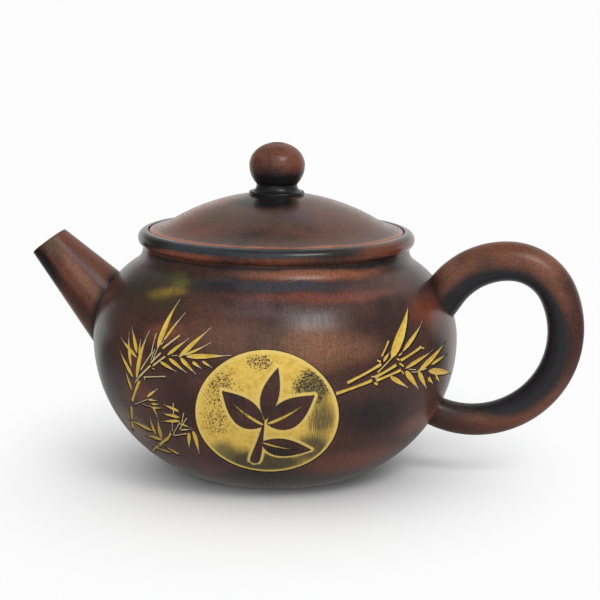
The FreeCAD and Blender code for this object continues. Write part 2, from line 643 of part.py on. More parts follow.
PIECES = [
    pot_wall,
    shoulder_slab,
    base_disc,
    mouth_ring,
    spout,
    ball_strainer,
    handle,
    medallion_fill,
    lid_disc,
    lid_flange,
    knob_collar,
    knob,
]
document.recompute()
for made in document.Objects:
    if "Invalid" in made.State or "Error" in made.State:
        raise RuntimeError(f"{made.Label} did not recompute: {made.State}")
os.makedirs("parts", exist_ok=True)
for piece in PIECES:
    shape = piece.Shape
    if shape.isNull() or not shape.isValid() or len(shape.Solids) != 1:
        raise RuntimeError(f"{piece.Label} is not one valid solid")
    shape.exportStep(f"parts/{piece.Label}.step")
    print(piece.Label, round(shape.Volume, 1), "mm3", len(shape.Faces), "faces")
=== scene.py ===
# %% [markdown]
# A round clay teapot with gilt carving
#
# The real object is a small unglazed teapot: a wall, a shoulder slab and a base luted together,
# a spout, a ring handle and a lid, burnished and fired in smoke, then carved and filled with gold.
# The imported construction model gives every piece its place, so this lesson only adds what the
# eye sees: the carved ornament, the finish of the clay, the light and the camera.

# %% Load the frame
import math

import bpy
from mathutils import Matrix, Quaternion, Vector
from mathutils.geometry import delaunay_2d_cdt
from mathutils.kdtree import KDTree


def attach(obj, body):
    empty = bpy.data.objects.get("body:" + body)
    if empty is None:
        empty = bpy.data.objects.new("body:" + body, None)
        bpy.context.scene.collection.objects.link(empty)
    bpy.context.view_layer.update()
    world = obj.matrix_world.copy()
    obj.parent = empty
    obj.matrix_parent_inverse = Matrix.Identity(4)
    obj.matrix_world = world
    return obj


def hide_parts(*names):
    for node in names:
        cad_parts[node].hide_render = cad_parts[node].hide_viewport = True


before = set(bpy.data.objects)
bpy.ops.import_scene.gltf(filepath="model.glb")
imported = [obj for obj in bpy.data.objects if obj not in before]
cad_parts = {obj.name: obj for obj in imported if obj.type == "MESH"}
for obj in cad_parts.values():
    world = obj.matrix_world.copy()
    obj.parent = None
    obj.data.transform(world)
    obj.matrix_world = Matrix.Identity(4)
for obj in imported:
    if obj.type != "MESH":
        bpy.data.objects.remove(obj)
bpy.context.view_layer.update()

MM = 0.001
scene = bpy.context.scene
print("nodes:", sorted(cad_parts))

# %% [markdown]
# Camera
#
# A photograph of a table-top object is usually taken with a long lens from a little above.
# Distance, height and turn were measured by laying the model over the photograph, so they are
# written here as plain sizes. The small shift keeps the pot where it stands in the frame.

# %% Camera
PHOTO_PIXELS = 600.0
FOCAL_PIXELS = 1871.0
SENSOR_MM = 36.0
CAMERA_DISTANCE = 500.0 * MM
CAMERA_TARGET = Vector((0.0, 0.0, 45.0 * MM))
CAMERA_TURN = math.radians(10.0)
CAMERA_RISE = math.radians(10.56)
CAMERA_ROLL = math.radians(0.65)
TARGET_PIXEL = (275.6, 300.8)
CLIP_NEAR = 10.0 * MM
CLIP_FAR = 100.0

camera_data = bpy.data.cameras.new("camera")
camera_data.sensor_width = SENSOR_MM
camera_data.lens = FOCAL_PIXELS / PHOTO_PIXELS * SENSOR_MM
camera_data.shift_x = 0.5 - TARGET_PIXEL[0] / PHOTO_PIXELS
camera_data.shift_y = TARGET_PIXEL[1] / PHOTO_PIXELS - 0.5
camera_data.clip_start = CLIP_NEAR
camera_data.clip_end = CLIP_FAR
camera = bpy.data.objects.new("camera", camera_data)
scene.collection.objects.link(camera)
back = Vector((
    math.sin(CAMERA_TURN) * math.cos(CAMERA_RISE),
    -math.cos(CAMERA_TURN) * math.cos(CAMERA_RISE),
    math.sin(CAMERA_RISE),
))
camera.location = CAMERA_TARGET + back * CAMERA_DISTANCE
camera.rotation_mode = "QUATERNION"
roll = Quaternion((0.0, 0.0, 1.0), CAMERA_ROLL)
camera.rotation_quaternion = (-back).to_track_quat("-Z", "Y") @ roll
scene.camera = camera
print("lens in mm:", round(camera_data.lens, 1))

# %% [markdown]
# One helper for every node
#
# Materials, the world and geometry trees are all made of nodes. One small function adds a node,
# sets its properties and fills its inputs, with a plain value or with a link, and hands back the
# output that the next node needs. Inputs are given in order, or by name or number.
# Colours are written as the hex values that a paint program shows and turned to linear light.

# %% Node and colour helpers
MATH = "ShaderNodeMath"
VECTOR = "ShaderNodeVectorMath"
SPLIT = "ShaderNodeSeparateXYZ"
JOIN = "ShaderNodeCombineXYZ"
NOISE = "ShaderNodeTexNoise"
RANGE = "ShaderNodeMapRange"
MIX = "ShaderNodeMix"
# A range takes a value, its lowest and highest, and what it gives for these. Eased, it has soft ends.
EASED = {"interpolation_type": "SMOOTHSTEP"}
# A mix of colours takes its share at input 0 and the two colours at 6 and 7, and gives output 2.
TINT = {"out": 2, "data_type": "RGBA"}


def node(tree, kind, feeds=(), out=0, **settings):
    """Add one node, set its properties, fill or link its inputs, and give an output, or all for None."""
    made = tree.nodes.new(kind)
    for name, value in settings.items():
        setattr(made, name, value)
    for name, value in (feeds if isinstance(feeds, dict) else dict(enumerate(feeds))).items():
        if isinstance(value, bpy.types.NodeSocket):
            tree.links.new(value, made.inputs[name])
        else:
            made.inputs[name].default_value = value
    return made.outputs if out is None else made.outputs[out]


def colour(hex_code):
    """Linear RGBA of an sRGB hex colour."""
    channels = [int(hex_code[i:i + 2], 16) / 255.0 for i in (1, 3, 5)]
    linear = [c / 12.92 if c <= 0.04045 else ((c + 0.055) / 1.055) ** 2.4 for c in channels]
    return (*linear, 1.0)


WHITE = colour("#fdfdfd")
print("white, linear:", round(WHITE[0], 3))

# %% [markdown]
# Floor, tent and lamp
#
# The photograph shows a white table, even light from all sides and a clear highlight from the
# front right. The floor is matt paper that catches the shadow near the pot. Further out it is
# plain white for the eye, so the background stays even without more light on the pot. The world
# is an even pale tent. What a burnished surface mirrors is set apart from it: a room that is pale
# in front, white behind and dim at the sides and overhead. One softbox stands at the front right.

# %% Paper floor
FLOOR_REACH = 12.0
SHADOW_NEAR = 0.025
SHADOW_FAR = 0.095
SHADOW_SHARE_AHEAD = 0.6
PAPER_WHITE = "#f8f8f8"
PAPER_ROUGH = 0.9
PAPER_SPECULAR = 0.1
FLOOR_IN_GLOSS = "#b7b6b4"
FOOT_IN_GLOSS = "#8b8987"
BACK_IN_GLOSS = "#f4f4f4"
ROOM_DIM = "#504e4c"
# Where on the floor, in metres, its mirror image begins to dim or brighten, is full, and how full.
DIM_LEFT = (-0.04, -0.2, 0.0, 0.95)
DIM_RIGHT = (0.08, 0.2, 0.0, 0.7)
BRIGHT_BEHIND = (-0.01, 0.03, 0.0, 1.0)
# How far back the bright part begins, for each metre to the right and to the left of the pot.
BACK_SLANT_RIGHT = 0.85
BACK_SLANT_LEFT = -0.45

floor_mesh = bpy.data.meshes.new("studio_floor")
floor_corners = [(-1, -1, 0), (1, -1, 0), (1, 1, 0), (-1, 1, 0)]
floor_mesh.from_pydata([Vector(corner) * FLOOR_REACH for corner in floor_corners], [], [(0, 1, 2, 3)])
floor = bpy.data.objects.new("studio_floor", floor_mesh)
scene.collection.objects.link(floor)

# Smooth matt paper: an even white that shows a soft shadow and no shine.
paper = bpy.data.materials.new("matt_white_paper")
paper.use_nodes = True
sheet = paper.node_tree
paper_shader = sheet.nodes["Principled BSDF"]
paper_shader.inputs["Base Color"].default_value = colour(PAPER_WHITE)
paper_shader.inputs["Roughness"].default_value = PAPER_ROUGH
paper_shader.inputs["Specular IOR Level"].default_value = PAPER_SPECULAR
floor_place = node(sheet, "ShaderNodeTexCoord", out="Object")
sideways = node(sheet, VECTOR, (floor_place, (1.0, SHADOW_SHARE_AHEAD, 1.0)), operation="MULTIPLY")
from_pot = node(sheet, VECTOR, (sideways,), "Value", operation="LENGTH")
far_out = node(sheet, RANGE, (from_pot, SHADOW_NEAR, SHADOW_FAR), **EASED)
rays = node(sheet, "ShaderNodeLightPath", out=None)
glossy_ray = rays["Is Glossy Ray"]
background_ray = rays["Is Camera Ray"]
for label in ("Is Glossy Ray", "Is Transmission Ray"):
    background_ray = node(sheet, MATH, (background_ray, rays[label]), operation="MAXIMUM")
whitened = node(sheet, MATH, (far_out, background_ray), operation="MULTIPLY")
plain_share = node(sheet, MATH, (whitened, glossy_ray), operation="MAXIMUM")
floor_spot = node(sheet, SPLIT, (floor_place,), None)
far_left = node(sheet, RANGE, (floor_spot["X"], *DIM_LEFT), **EASED)
far_right = node(sheet, RANGE, (floor_spot["X"], *DIM_RIGHT), **EASED)
far_aside = node(sheet, MATH, (far_left, far_right), operation="MAXIMUM")
off_right = node(sheet, MATH, (floor_spot["X"], BACK_SLANT_RIGHT), operation="MULTIPLY")
off_left = node(sheet, MATH, (floor_spot["X"], BACK_SLANT_LEFT), operation="MULTIPLY")
off_middle = node(sheet, MATH, (off_right, off_left), operation="MAXIMUM")
behind_pot = node(sheet, MATH, (floor_spot["Y"], off_middle), operation="SUBTRACT")
far_back = node(sheet, RANGE, (behind_pot, *BRIGHT_BEHIND), **EASED)
mirrored = node(sheet, MIX, {0: far_out, 6: colour(FOOT_IN_GLOSS), 7: colour(FLOOR_IN_GLOSS)}, **TINT)
mirrored = node(sheet, MIX, {0: far_aside, 6: mirrored, 7: colour(ROOM_DIM)}, **TINT)
mirrored = node(sheet, MIX, {0: far_back, 6: mirrored, 7: colour(BACK_IN_GLOSS)}, **TINT)
floor_tone = node(sheet, MIX, {0: glossy_ray, 6: WHITE, 7: mirrored}, **TINT)
plain_white = node(sheet, "ShaderNodeEmission", {"Color": floor_tone, "Strength": 1.0})
floor_mix = node(sheet, "ShaderNodeMixShader", (plain_share, paper_shader.outputs[0], plain_white))
sheet.links.new(floor_mix, sheet.nodes["Material Output"].inputs["Surface"])
floor_mesh.materials.append(paper)
print("shadow is kept within", round(SHADOW_FAR / MM), "mm of the pot")

# %% Tent
TENT_STRENGTH = 0.9
TENT_WHITE = "#fbfcfd"
ROOM_FRONT = "#dad8d5"
# Share of a look in one direction where a part of the room begins, is full, and how full.
OVERHEAD = (0.75, 0.95, 0.0, 0.9)
TO_LEFT = (-0.1, -0.8, 0.0, 0.9)
TO_RIGHT = (0.45, 0.75, 0.0, 0.7)
TO_BACK = (0.45, 0.8, 0.0, 1.0)
BACKDROP_TOP = (0.33, 0.13, 0.0, 1.0)

world = bpy.data.worlds.new("light_tent")
scene.world = world
world.use_nodes = True
tent = world.node_tree
tent.nodes.clear()
looking = node(tent, SPLIT, (node(tent, "ShaderNodeTexCoord", out="Generated"),), None)
overhead = node(tent, RANGE, (looking["Z"], *OVERHEAD), **EASED)
left = node(tent, RANGE, (looking["X"], *TO_LEFT), **EASED)
right = node(tent, RANGE, (looking["X"], *TO_RIGHT), **EASED)
behind = node(tent, RANGE, (looking["Y"], *TO_BACK), **EASED)
low = node(tent, RANGE, (looking["Z"], *BACKDROP_TOP), **EASED)
backdrop = node(tent, MATH, (behind, low), operation="MULTIPLY")
sides = node(tent, MATH, (right, left), operation="MAXIMUM")
dim = node(tent, MATH, (overhead, sides), operation="MAXIMUM")
room = node(tent, MIX, {0: dim, 6: colour(ROOM_FRONT), 7: colour(ROOM_DIM)}, **TINT)
room = node(tent, MIX, {0: backdrop, 6: room, 7: WHITE}, **TINT)
rays = node(tent, "ShaderNodeLightPath", out=None)
lighting = node(tent, "ShaderNodeBackground", {"Color": colour(TENT_WHITE), "Strength": TENT_STRENGTH})
in_gloss = node(tent, "ShaderNodeBackground", {"Color": room, "Strength": 1.0})
to_eye = node(tent, "ShaderNodeBackground", {"Color": WHITE, "Strength": 1.0})
tent_mix = node(tent, "ShaderNodeMixShader", (rays["Is Glossy Ray"], lighting, in_gloss))
tent_mix = node(tent, "ShaderNodeMixShader", (rays["Is Camera Ray"], tent_mix, to_eye))
node(tent, "ShaderNodeOutputWorld", {"Surface": tent_mix}, None)
scene.view_settings.view_transform = "Standard"
print("tent strength:", TENT_STRENGTH)

# %% Lamp
LAMP_WATTS = 2.3
LAMP_WIDE = 0.4
LAMP_DEEP = 0.3
LAMP_PLACE = Vector((0.42, -0.5, 0.76))
LAMP_AIM = Vector((0.0, 0.0, 0.04))

lamp_data = bpy.data.lights.new("front_softbox", "AREA")
lamp_data.shape = "RECTANGLE"
lamp_data.size = LAMP_WIDE
lamp_data.size_y = LAMP_DEEP
lamp_data.energy = LAMP_WATTS
lamp = bpy.data.objects.new("front_softbox", lamp_data)
lamp.location = LAMP_PLACE
lamp.rotation_mode = "QUATERNION"
lamp.rotation_quaternion = (LAMP_AIM - LAMP_PLACE).to_track_quat("-Z", "Y")
scene.collection.objects.link(lamp)
print("lamp hangs", round(LAMP_PLACE.z / MM), "mm above the floor")

# %% [markdown]
# The pot wall as a flat slab
#
# A potter rolls a slab, bends it to a round wall and carves it. The same idea makes the mesh:
# the wall is drawn flat, with the distance round the pot across and the distance up its section
# as height, and a node tree then winds the slab round the pot. On the flat slab every carved
# stroke is an ordinary outline. The sizes repeat those of the construction model.

# %% Wall sizes and its section
BELLY_RADIUS = 48.5
BELLY_HEIGHT = 35.6
BASE_RADIUS = 24.0
BASE_THICKNESS = 3.0
WALL_THICKNESS = 3.0
SHOULDER_CURVE = 24.0
NECK_OUT = 15.3
NECK_REACH = 28.5
JOINT_BELOW_NECK = math.radians(11.5)
SLAB_TURN = math.acos(NECK_OUT / NECK_REACH) - JOINT_BELOW_NECK
BELLY_IN = BELLY_RADIUS - BASE_RADIUS
BELLY_CURVE = (BELLY_IN ** 2 + BELLY_HEIGHT ** 2) / (2.0 * BELLY_IN)
HALF_ROUND = math.pi * BELLY_RADIUS
SECTION_STEP = math.radians(0.25)
SECTION_SPARE = 1.0


def section_curve(up):
    """Radius of the arc that carries the wall, by a run or a rise from its widest line."""
    return BELLY_CURVE if up < 0.0 else SHOULDER_CURVE


def section_point(run):
    """Distance from the axis and height of a point on the outside of the wall."""
    curve = section_curve(run)
    turn = run / curve
    return BELLY_RADIUS - curve + curve * math.cos(turn), BELLY_HEIGHT + curve * math.sin(turn)


def from_arc(point):
    """Radius of the arc that carries the wall near a point, and the point's place from its centre."""
    rise = point.z - BELLY_HEIGHT
    curve = section_curve(rise)
    return curve, math.hypot(point.x, point.y) - (BELLY_RADIUS - curve), rise


def outside_by(point):
    """How far a point lies outside the wall surface, negative within, and its run."""
    curve, aside, rise = from_arc(point)
    return math.hypot(aside, rise) - curve, curve * math.atan2(rise, aside)


def unrolled(point):
    """Flat slab position of a point near the wall."""
    return Vector((BELLY_RADIUS * math.atan2(point.x, -point.y), outside_by(point)[1]))


RUN_BOTTOM = -BELLY_CURVE * math.asin(BELLY_HEIGHT / BELLY_CURVE)
RUN_OUTSIDE = -BELLY_CURVE * math.asin((BELLY_HEIGHT - BASE_THICKNESS) / BELLY_CURVE)
INNER_CURVE = BELLY_CURVE - WALL_THICKNESS
RUN_INSIDE = -BELLY_CURVE * math.asin((BELLY_HEIGHT - BASE_THICKNESS) / INNER_CURVE)
RUN_TOP = SHOULDER_CURVE * SLAB_TURN

section_runs = []
run = RUN_BOTTOM
while run < RUN_TOP + SECTION_SPARE:
    section_runs.append(run)
    run += section_curve(run) * SECTION_STEP
section_data = bpy.data.curves.new("wall_section", "CURVE")
section_data.dimensions = "3D"
section_line = section_data.splines.new("POLY")
section_line.points.add(len(section_runs) - 1)
for knot, run in zip(section_line.points, section_runs):
    across, height = section_point(run)
    knot.co = (across * MM, 0.0, height * MM, 1.0)
wall_section = bpy.data.objects.new("wall_section", section_data)
scene.collection.objects.link(wall_section)
print("section runs from", round(RUN_BOTTOM, 2), "to", round(RUN_TOP, 2), "mm")

# %% [markdown]
# The clay
#
# The pot is unglazed red-brown clay. The potter rubs it with a stone while it is leather-hard,
# which leaves faint marks and a satin skin, and the kiln's smoke turns parts of it blue-black.
# An image could show that, but a node material stays sharp at any size. Soft patches are laid one by one
# where the smoke caught the pot, and others are painted highlights, painted reflections and painted shade;
# cloudy noise, marks of the stone and grain go over them.

# %% Soft patches of colour
PATCH_DRIFT = 1.6
PATCH_WAVE = 15.0
NOISE_MIDDLE = (0.5, 0.5, 0.5)


def cloudy(size, detail, roughness):
    """Settings of a noise with features of a size in millimetres."""
    return {"Scale": 1.0 / (size * MM), "Detail": detail, "Roughness": roughness}


DRIFT_NOISE = cloudy(PATCH_WAVE, 3.0, 0.6)


def drifting(tree, place, reach):
    """Places pushed about by noise, so that patches on them get smoky edges."""
    push = node(tree, NOISE, {"Vector": place, **DRIFT_NOISE}, "Color")
    centred = node(tree, VECTOR, (push, NOISE_MIDDLE), operation="SUBTRACT")
    return node(tree, VECTOR, (centred, (2.0 * reach * MM,) * 3, place), operation="MULTIPLY_ADD")


def patched(tree, place, shade, patches):
    """Oval patches laid over a colour: centre and half size in mm, full share, strength, colour."""
    for centre, half_size, core, strength, hex_code in patches:
        offset = node(tree, VECTOR, (place, Vector(centre) * MM), operation="SUBTRACT")
        scaled = node(tree, VECTOR, (offset, Vector(half_size) * MM), operation="DIVIDE")
        reach = node(tree, VECTOR, (scaled,), "Value", operation="LENGTH")
        share = node(tree, RANGE, (reach, 1.0, core, 0.0, strength), **EASED)
        shade = node(tree, MIX, {0: share, 6: shade, 7: colour(hex_code)}, **TINT)
    return shade


print("edges of patches drift by up to", PATCH_DRIFT, "mm")

# %% Stone marks
# Grain and stone marks are really about a tenth of a millimetre, too fine to show at this distance,
# so both are drawn four to six times as coarse. A mark is twenty times as long as it is wide.
MARK_SIZE = 0.55
GRAIN_SIZE = 0.45
MARK_STRETCH = 0.05
MARK_NOISE = cloudy(MARK_SIZE, 5.0, 0.7)
GRAIN_NOISE = cloudy(GRAIN_SIZE, 2.0, 0.6)


def off_wall(tree, place):
    """Distance of a place from the outside of the pot wall, in metres."""
    spot = node(tree, SPLIT, (place,), None)
    level = node(tree, JOIN, (spot["X"], spot["Y"]))
    across = node(tree, VECTOR, (level,), "Value", operation="LENGTH")
    rise = node(tree, MATH, (spot["Z"], BELLY_HEIGHT * MM), operation="SUBTRACT")
    above = node(tree, MATH, (rise, 0.0), operation="GREATER_THAN")
    curve = node(tree, RANGE, (above, 0.0, 1.0, BELLY_CURVE * MM, SHOULDER_CURVE * MM))
    from_edge = node(tree, MATH, (across, BELLY_RADIUS * MM), operation="SUBTRACT")
    aside = node(tree, MATH, (from_edge, curve), operation="ADD")
    arm = node(tree, JOIN, (aside, rise))
    reach = node(tree, VECTOR, (arm,), "Value", operation="LENGTH")
    return node(tree, MATH, (reach, curve), operation="SUBTRACT")


def rubbed(tree, own, way):
    """Places stretched the way the stone went: along the axis of a piece, or round it."""
    flat = node(tree, VECTOR, (own, (1.0, 1.0, 0.0)), operation="MULTIPLY")
    if way == "along":
        heading = node(tree, VECTOR, (flat,), operation="NORMALIZE")
        across = node(tree, VECTOR, {0: heading, "Scale": BELLY_RADIUS * MM}, operation="SCALE")
    else:
        reach = node(tree, VECTOR, (flat,), "Value", operation="LENGTH")
        across = node(tree, JOIN, (reach, node(tree, SPLIT, (own,), "Z")))
    return node(tree, VECTOR, (own, (MARK_STRETCH,) * 3, across), operation="MULTIPLY_ADD")


print("stone marks:", MARK_SIZE, "mm wide and", round(MARK_SIZE / MARK_STRETCH), "mm long")

# %% The whole clay
CLOUD_SIZE = 15.0
CLOUD_NOISE = cloudy(CLOUD_SIZE, 6.0, 0.65)
# Black of the kiln's smoke, also used for painted shade under the mouth ring and the painted dark
# reflection of the knob on the lid.
SMOKE_AND_SHADE_BLACK = "#1b191b"
CLAY_RED = "#74402f"
LUTE_WIDE = 2.4
# Cloud noise at which a tint begins, at which it is full, and its shares there.
RED_CLOUDS = (0.47, 0.27, 0.0, 0.7)
SMOKE_UNDER = (0.5, 0.72, 0.0, 0.6)
SMOKE_OVER = (0.5, 0.72, 0.0, 0.4)
# Lowest and highest noise, and how much the marks and the grain darken or lighten the clay for them.
MARK_TONE = (0.28, 0.72, 0.93, 1.07)
GRAIN_TONE = (0.3, 0.7, 0.7, 1.26)
MARK_GLOSS = (0.3, 0.7)
CLAY_SPECULAR = 0.42
CLAY_BUMP = 0.14
BUMP_HIGH = 0.05 * MM


def burnished_clay(
    name, base, patches, way, origin=(0.0, 0.0, 0.0), turn=(0.0, 0.0, 0.0),
    gloss=(0.25, 0.4), drift=PATCH_DRIFT, own_patches=False, luted=0.0,
):
    """Unglazed clay, rubbed and smoked: a mottled skin with a satin shine that breaks along fine marks."""
    clay = bpy.data.materials.new(name)
    clay.use_nodes = True
    tree = clay.node_tree
    shader = tree.nodes["Principled BSDF"]
    place = node(tree, "ShaderNodeTexCoord", out="Object")
    own = node(tree, "ShaderNodeMapping", {
        "Vector": place, "Location": Vector(origin) * MM, "Rotation": turn,
    }, vector_type="TEXTURE")
    patch_place = own if own_patches else place
    cloud = node(tree, NOISE, {"Vector": place, **CLOUD_NOISE})
    red = node(tree, RANGE, (cloud, *RED_CLOUDS), **EASED)
    smoke_under = node(tree, RANGE, (cloud, *SMOKE_UNDER), **EASED)
    smoke_over = node(tree, RANGE, (cloud, *SMOKE_OVER), **EASED)
    shade = node(tree, MIX, {0: red, 6: colour(base), 7: colour(CLAY_RED)}, **TINT)
    shade = node(tree, MIX, {0: smoke_under, 6: shade, 7: colour(SMOKE_AND_SHADE_BLACK)}, **TINT)
    shade = patched(tree, drifting(tree, patch_place, drift), shade, patches)
    shade = node(tree, MIX, {0: smoke_over, 6: shade, 7: colour(SMOKE_AND_SHADE_BLACK)}, **TINT)
    if luted:
        seam = node(tree, RANGE, (off_wall(tree, place), LUTE_WIDE * MM, 0.0, 0.0, luted), **EASED)
        shade = node(tree, MIX, {0: seam, 6: shade, 7: colour(SMOKE_AND_SHADE_BLACK)}, **TINT)
    marks = node(tree, NOISE, {"Vector": rubbed(tree, own, way), **MARK_NOISE})
    grain = node(tree, NOISE, {"Vector": place, **GRAIN_NOISE})
    mark_tone = node(tree, RANGE, (marks, *MARK_TONE), **EASED)
    grain_tone = node(tree, RANGE, (grain, *GRAIN_TONE), **EASED)
    tone = node(tree, MATH, (mark_tone, grain_tone), operation="MULTIPLY")
    skin = node(tree, VECTOR, {0: shade, "Scale": tone}, operation="SCALE")
    satin = node(tree, RANGE, (marks, *MARK_GLOSS, *gloss), **EASED)
    relief = node(tree, MATH, (marks, grain), operation="ADD")
    bump = node(tree, "ShaderNodeBump", {"Height": relief, "Strength": CLAY_BUMP, "Distance": BUMP_HIGH})
    tree.links.new(skin, shader.inputs["Base Color"])
    tree.links.new(satin, shader.inputs["Roughness"])
    tree.links.new(bump, shader.inputs["Normal"])
    shader.inputs["Specular IOR Level"].default_value = CLAY_SPECULAR
    return clay


print("clouds of smoke:", CLOUD_SIZE, "mm")

# %% Patches on the wall
ALL_ROUND = 400.0


def on_wall(turn, height):
    """Place on the outside of the wall, by degrees round the pot from the front and by height."""
    rise = height - BELLY_HEIGHT
    curve = section_curve(rise)
    across = BELLY_RADIUS - curve + math.sqrt(curve ** 2 - rise ** 2)
    return across * math.sin(math.radians(turn)), -across * math.cos(math.radians(turn)), height


def wall_patch(turn, height, wide, tall, strength, hex_code, core=0.2):
    """A patch on the wall, by degrees round the pot, height and half size in mm."""
    return on_wall(turn, height), (wide, wide, tall), core, strength, hex_code


def band(height, tall, core, strength, hex_code):
    """A patch that runs right round a piece at a height."""
    return (0.0, 0.0, height), (ALL_ROUND, ALL_ROUND, tall), core, strength, hex_code


print("front of the belly:", [round(c, 1) for c in on_wall(0.0, BELLY_HEIGHT)])

# %% Clay of the pot
# Each patch lies over those before it. The order of its numbers is that of the helper's.
POT_PATCHES = [
    band(2.0, 6.0, 0.2, 0.5, SMOKE_AND_SHADE_BLACK),
    wall_patch(-62.0, 32.0, 20.0, 22.0, 0.9, SMOKE_AND_SHADE_BLACK),
    wall_patch(-50.0, 53.0, 30.0, 9.0, 0.7, "#28211f"),
    wall_patch(-4.0, 44.0, 20.0, 6.5, 0.75, "#684739"),
    # Painted highlight: lighter warm brown where the softbox lights the front of the belly.
    wall_patch(22.0, 42.0, 16.0, 8.0, 0.85, "#82593f"),
    wall_patch(80.0, 17.5, 10.0, 6.0, 0.8, "#80513f"),
    wall_patch(-47.0, 16.5, 12.0, 7.0, 0.8, "#705846"),
    wall_patch(68.0, 47.5, 12.0, 5.0, 0.85, "#743b28"),
    # Painted highlight that widens the one on the front of the belly to the right.
    wall_patch(36.0, 41.0, 9.0, 5.0, 0.6, "#7a523d"),
    wall_patch(-25.0, 43.5, 9.0, 3.8, 0.65, "#7f4936"),
    # Painted shade: a dark spot that tones down the softbox's highlight above the belly.
    wall_patch(21.0, 49.5, 9.0, 2.6, 0.6, "#2a1f1c"),
    wall_patch(64.0, 18.0, 9.0, 5.0, 0.6, "#7a4c3c"),
    wall_patch(50.0, 45.0, 8.0, 6.0, 0.5, "#30211f"),
    # Painted shade: darker clay beside the sheen along the right edge.
    wall_patch(72.0, 37.0, 8.0, 8.0, 0.8, "#221614"),
    wall_patch(42.0, 10.0, 20.0, 6.0, 0.85, "#703f32"),
    wall_patch(-18.0, 27.0, 9.0, 11.0, 0.75, "#341a17"),
    wall_patch(42.0, 24.0, 18.0, 9.0, 0.85, SMOKE_AND_SHADE_BLACK),
    wall_patch(6.0, 6.0, 16.0, 4.0, 0.8, SMOKE_AND_SHADE_BLACK),
    wall_patch(12.0, 50.5, 24.0, 2.6, 0.6, "#5e4d4a"),
    wall_patch(4.0, 53.0, 9.0, 2.2, 0.6, "#5f4c4b"),
    wall_patch(28.0, 53.3, 30.0, 1.9, 0.8, "#784439"),
    # Dark smoke band, lifted to blue-grey as a painted reflection.
    wall_patch(8.0, 55.6, 32.0, 1.8, 0.85, "#404249"),
    # Painted highlight: a warm bright band on the neck.
    wall_patch(26.0, 57.9, 26.0, 1.9, 0.95, "#8d553c"),
    wall_patch(-36.0, 49.8, 17.0, 4.0, 0.65, "#40331f"),
    wall_patch(-15.0, 55.1, 10.0, 1.9, 0.9, "#232625"),
    wall_patch(-34.0, 54.0, 14.0, 5.0, 0.6, "#463a1c"),
    wall_patch(-31.0, 56.2, 5.0, 1.7, 0.5, "#56581e", core=0.0),
    wall_patch(-27.5, 55.0, 4.4, 1.8, 0.8, "#6a661f", core=0.0),
    wall_patch(-26.5, 53.4, 4.8, 1.6, 0.85, "#86692a", core=0.0),
    wall_patch(-30.0, 52.7, 5.4, 1.8, 0.85, "#8a6f26", core=0.0),
    wall_patch(-34.0, 51.8, 6.4, 2.0, 0.7, "#75601f", core=0.0),
    wall_patch(118.0, 26.0, 16.0, 16.0, 0.8, SMOKE_AND_SHADE_BLACK),
    # Painted reflection: a warm beige tint on the sheen along the right edge.
    (on_wall(88.0, 36.0), (12.0, 10.0, 18.0), 0.1, 0.6, "#714c3a"),
    wall_patch(150.0, 46.0, 24.0, 9.0, 0.7, CLAY_RED),
    wall_patch(178.0, 24.0, 22.0, 12.0, 0.85, SMOKE_AND_SHADE_BLACK),
    wall_patch(-140.0, 42.0, 26.0, 12.0, 0.7, CLAY_RED),
    wall_patch(-112.0, 20.0, 18.0, 10.0, 0.7, SMOKE_AND_SHADE_BLACK),
    wall_patch(50.0, 59.2, 16.0, 1.5, 0.8, SMOKE_AND_SHADE_BLACK),
    wall_patch(72.0, 58.3, 12.0, 2.6, 0.9, SMOKE_AND_SHADE_BLACK),
    ((-45.0, 0.0, 43.5), (9.0, 15.0, 15.0), 0.55, 0.65, "#2a201d"),
    ((44.0, 0.0, 54.0), (9.0, 12.0, 8.0), 0.4, 0.5, SMOKE_AND_SHADE_BLACK),
    # Painted shade: a dark line in the crease under the mouth ring.
    band(59.8, 1.1, 0.3, 0.9, SMOKE_AND_SHADE_BLACK),
]
# Belly: dark smoked clay clouded with red-brown, rubbed upwards to a satin shine.
pot_clay = burnished_clay("smoked_pot_clay", "#472c25", POT_PATCHES, "along", gloss=(0.2, 0.34))
print("patches on the pot:", len(POT_PATCHES))

# %% Clay of the ring, the lid and the knob
# Mouth ring: the most rubbed and so the shiniest piece, red-brown under a dark upper edge that carries a
# painted blue-grey highlight, with painted shade at its foot.
ring_clay = burnished_clay("smoked_ring_clay", "#763f2c", [
    # Painted shade: a dark band at the foot of the ring, in the crease above the neck.
    band(59.6, 1.5, 0.5, 0.8, "#3a241d"),
    # Black upper edge, partly smoke, lifted to blue-grey as a painted highlight.
    band(65.0, 2.9, 0.8, 1.0, "#33373b"),
    ((20.0, -30.0, 62.0), (18.0, 12.0, 6.0), 0.2, 0.7, "#2b211e"),
    ((33.5, -23.5, 61.0), (9.0, 9.0, 3.5), 0.3, 0.9, "#2b201c"),
    ((40.0, 0.0, 62.5), (5.0, 18.0, 6.0), 0.4, 1.0, "#8d452b"),
    ((35.0, -20.0, 63.0), (14.0, 16.0, 2.6), 0.45, 0.95, "#6c3a27"),
    ((34.0, -22.0, 59.9), (14.0, 16.0, 1.7), 0.4, 0.95, "#231a18"),
    ((-32.0, -23.0, 60.6), (16.0, 14.0, 2.6), 0.3, 0.6, "#452820"),
    ((-38.0, -16.0, 63.5), (22.0, 30.0, 3.4), 0.6, 1.0, "#1a1a15"),
    ((8.0, 38.0, 62.0), (24.0, 12.0, 8.0), 0.2, 0.8, SMOKE_AND_SHADE_BLACK),
], "round", gloss=(0.16, 0.26), drift=0.4)
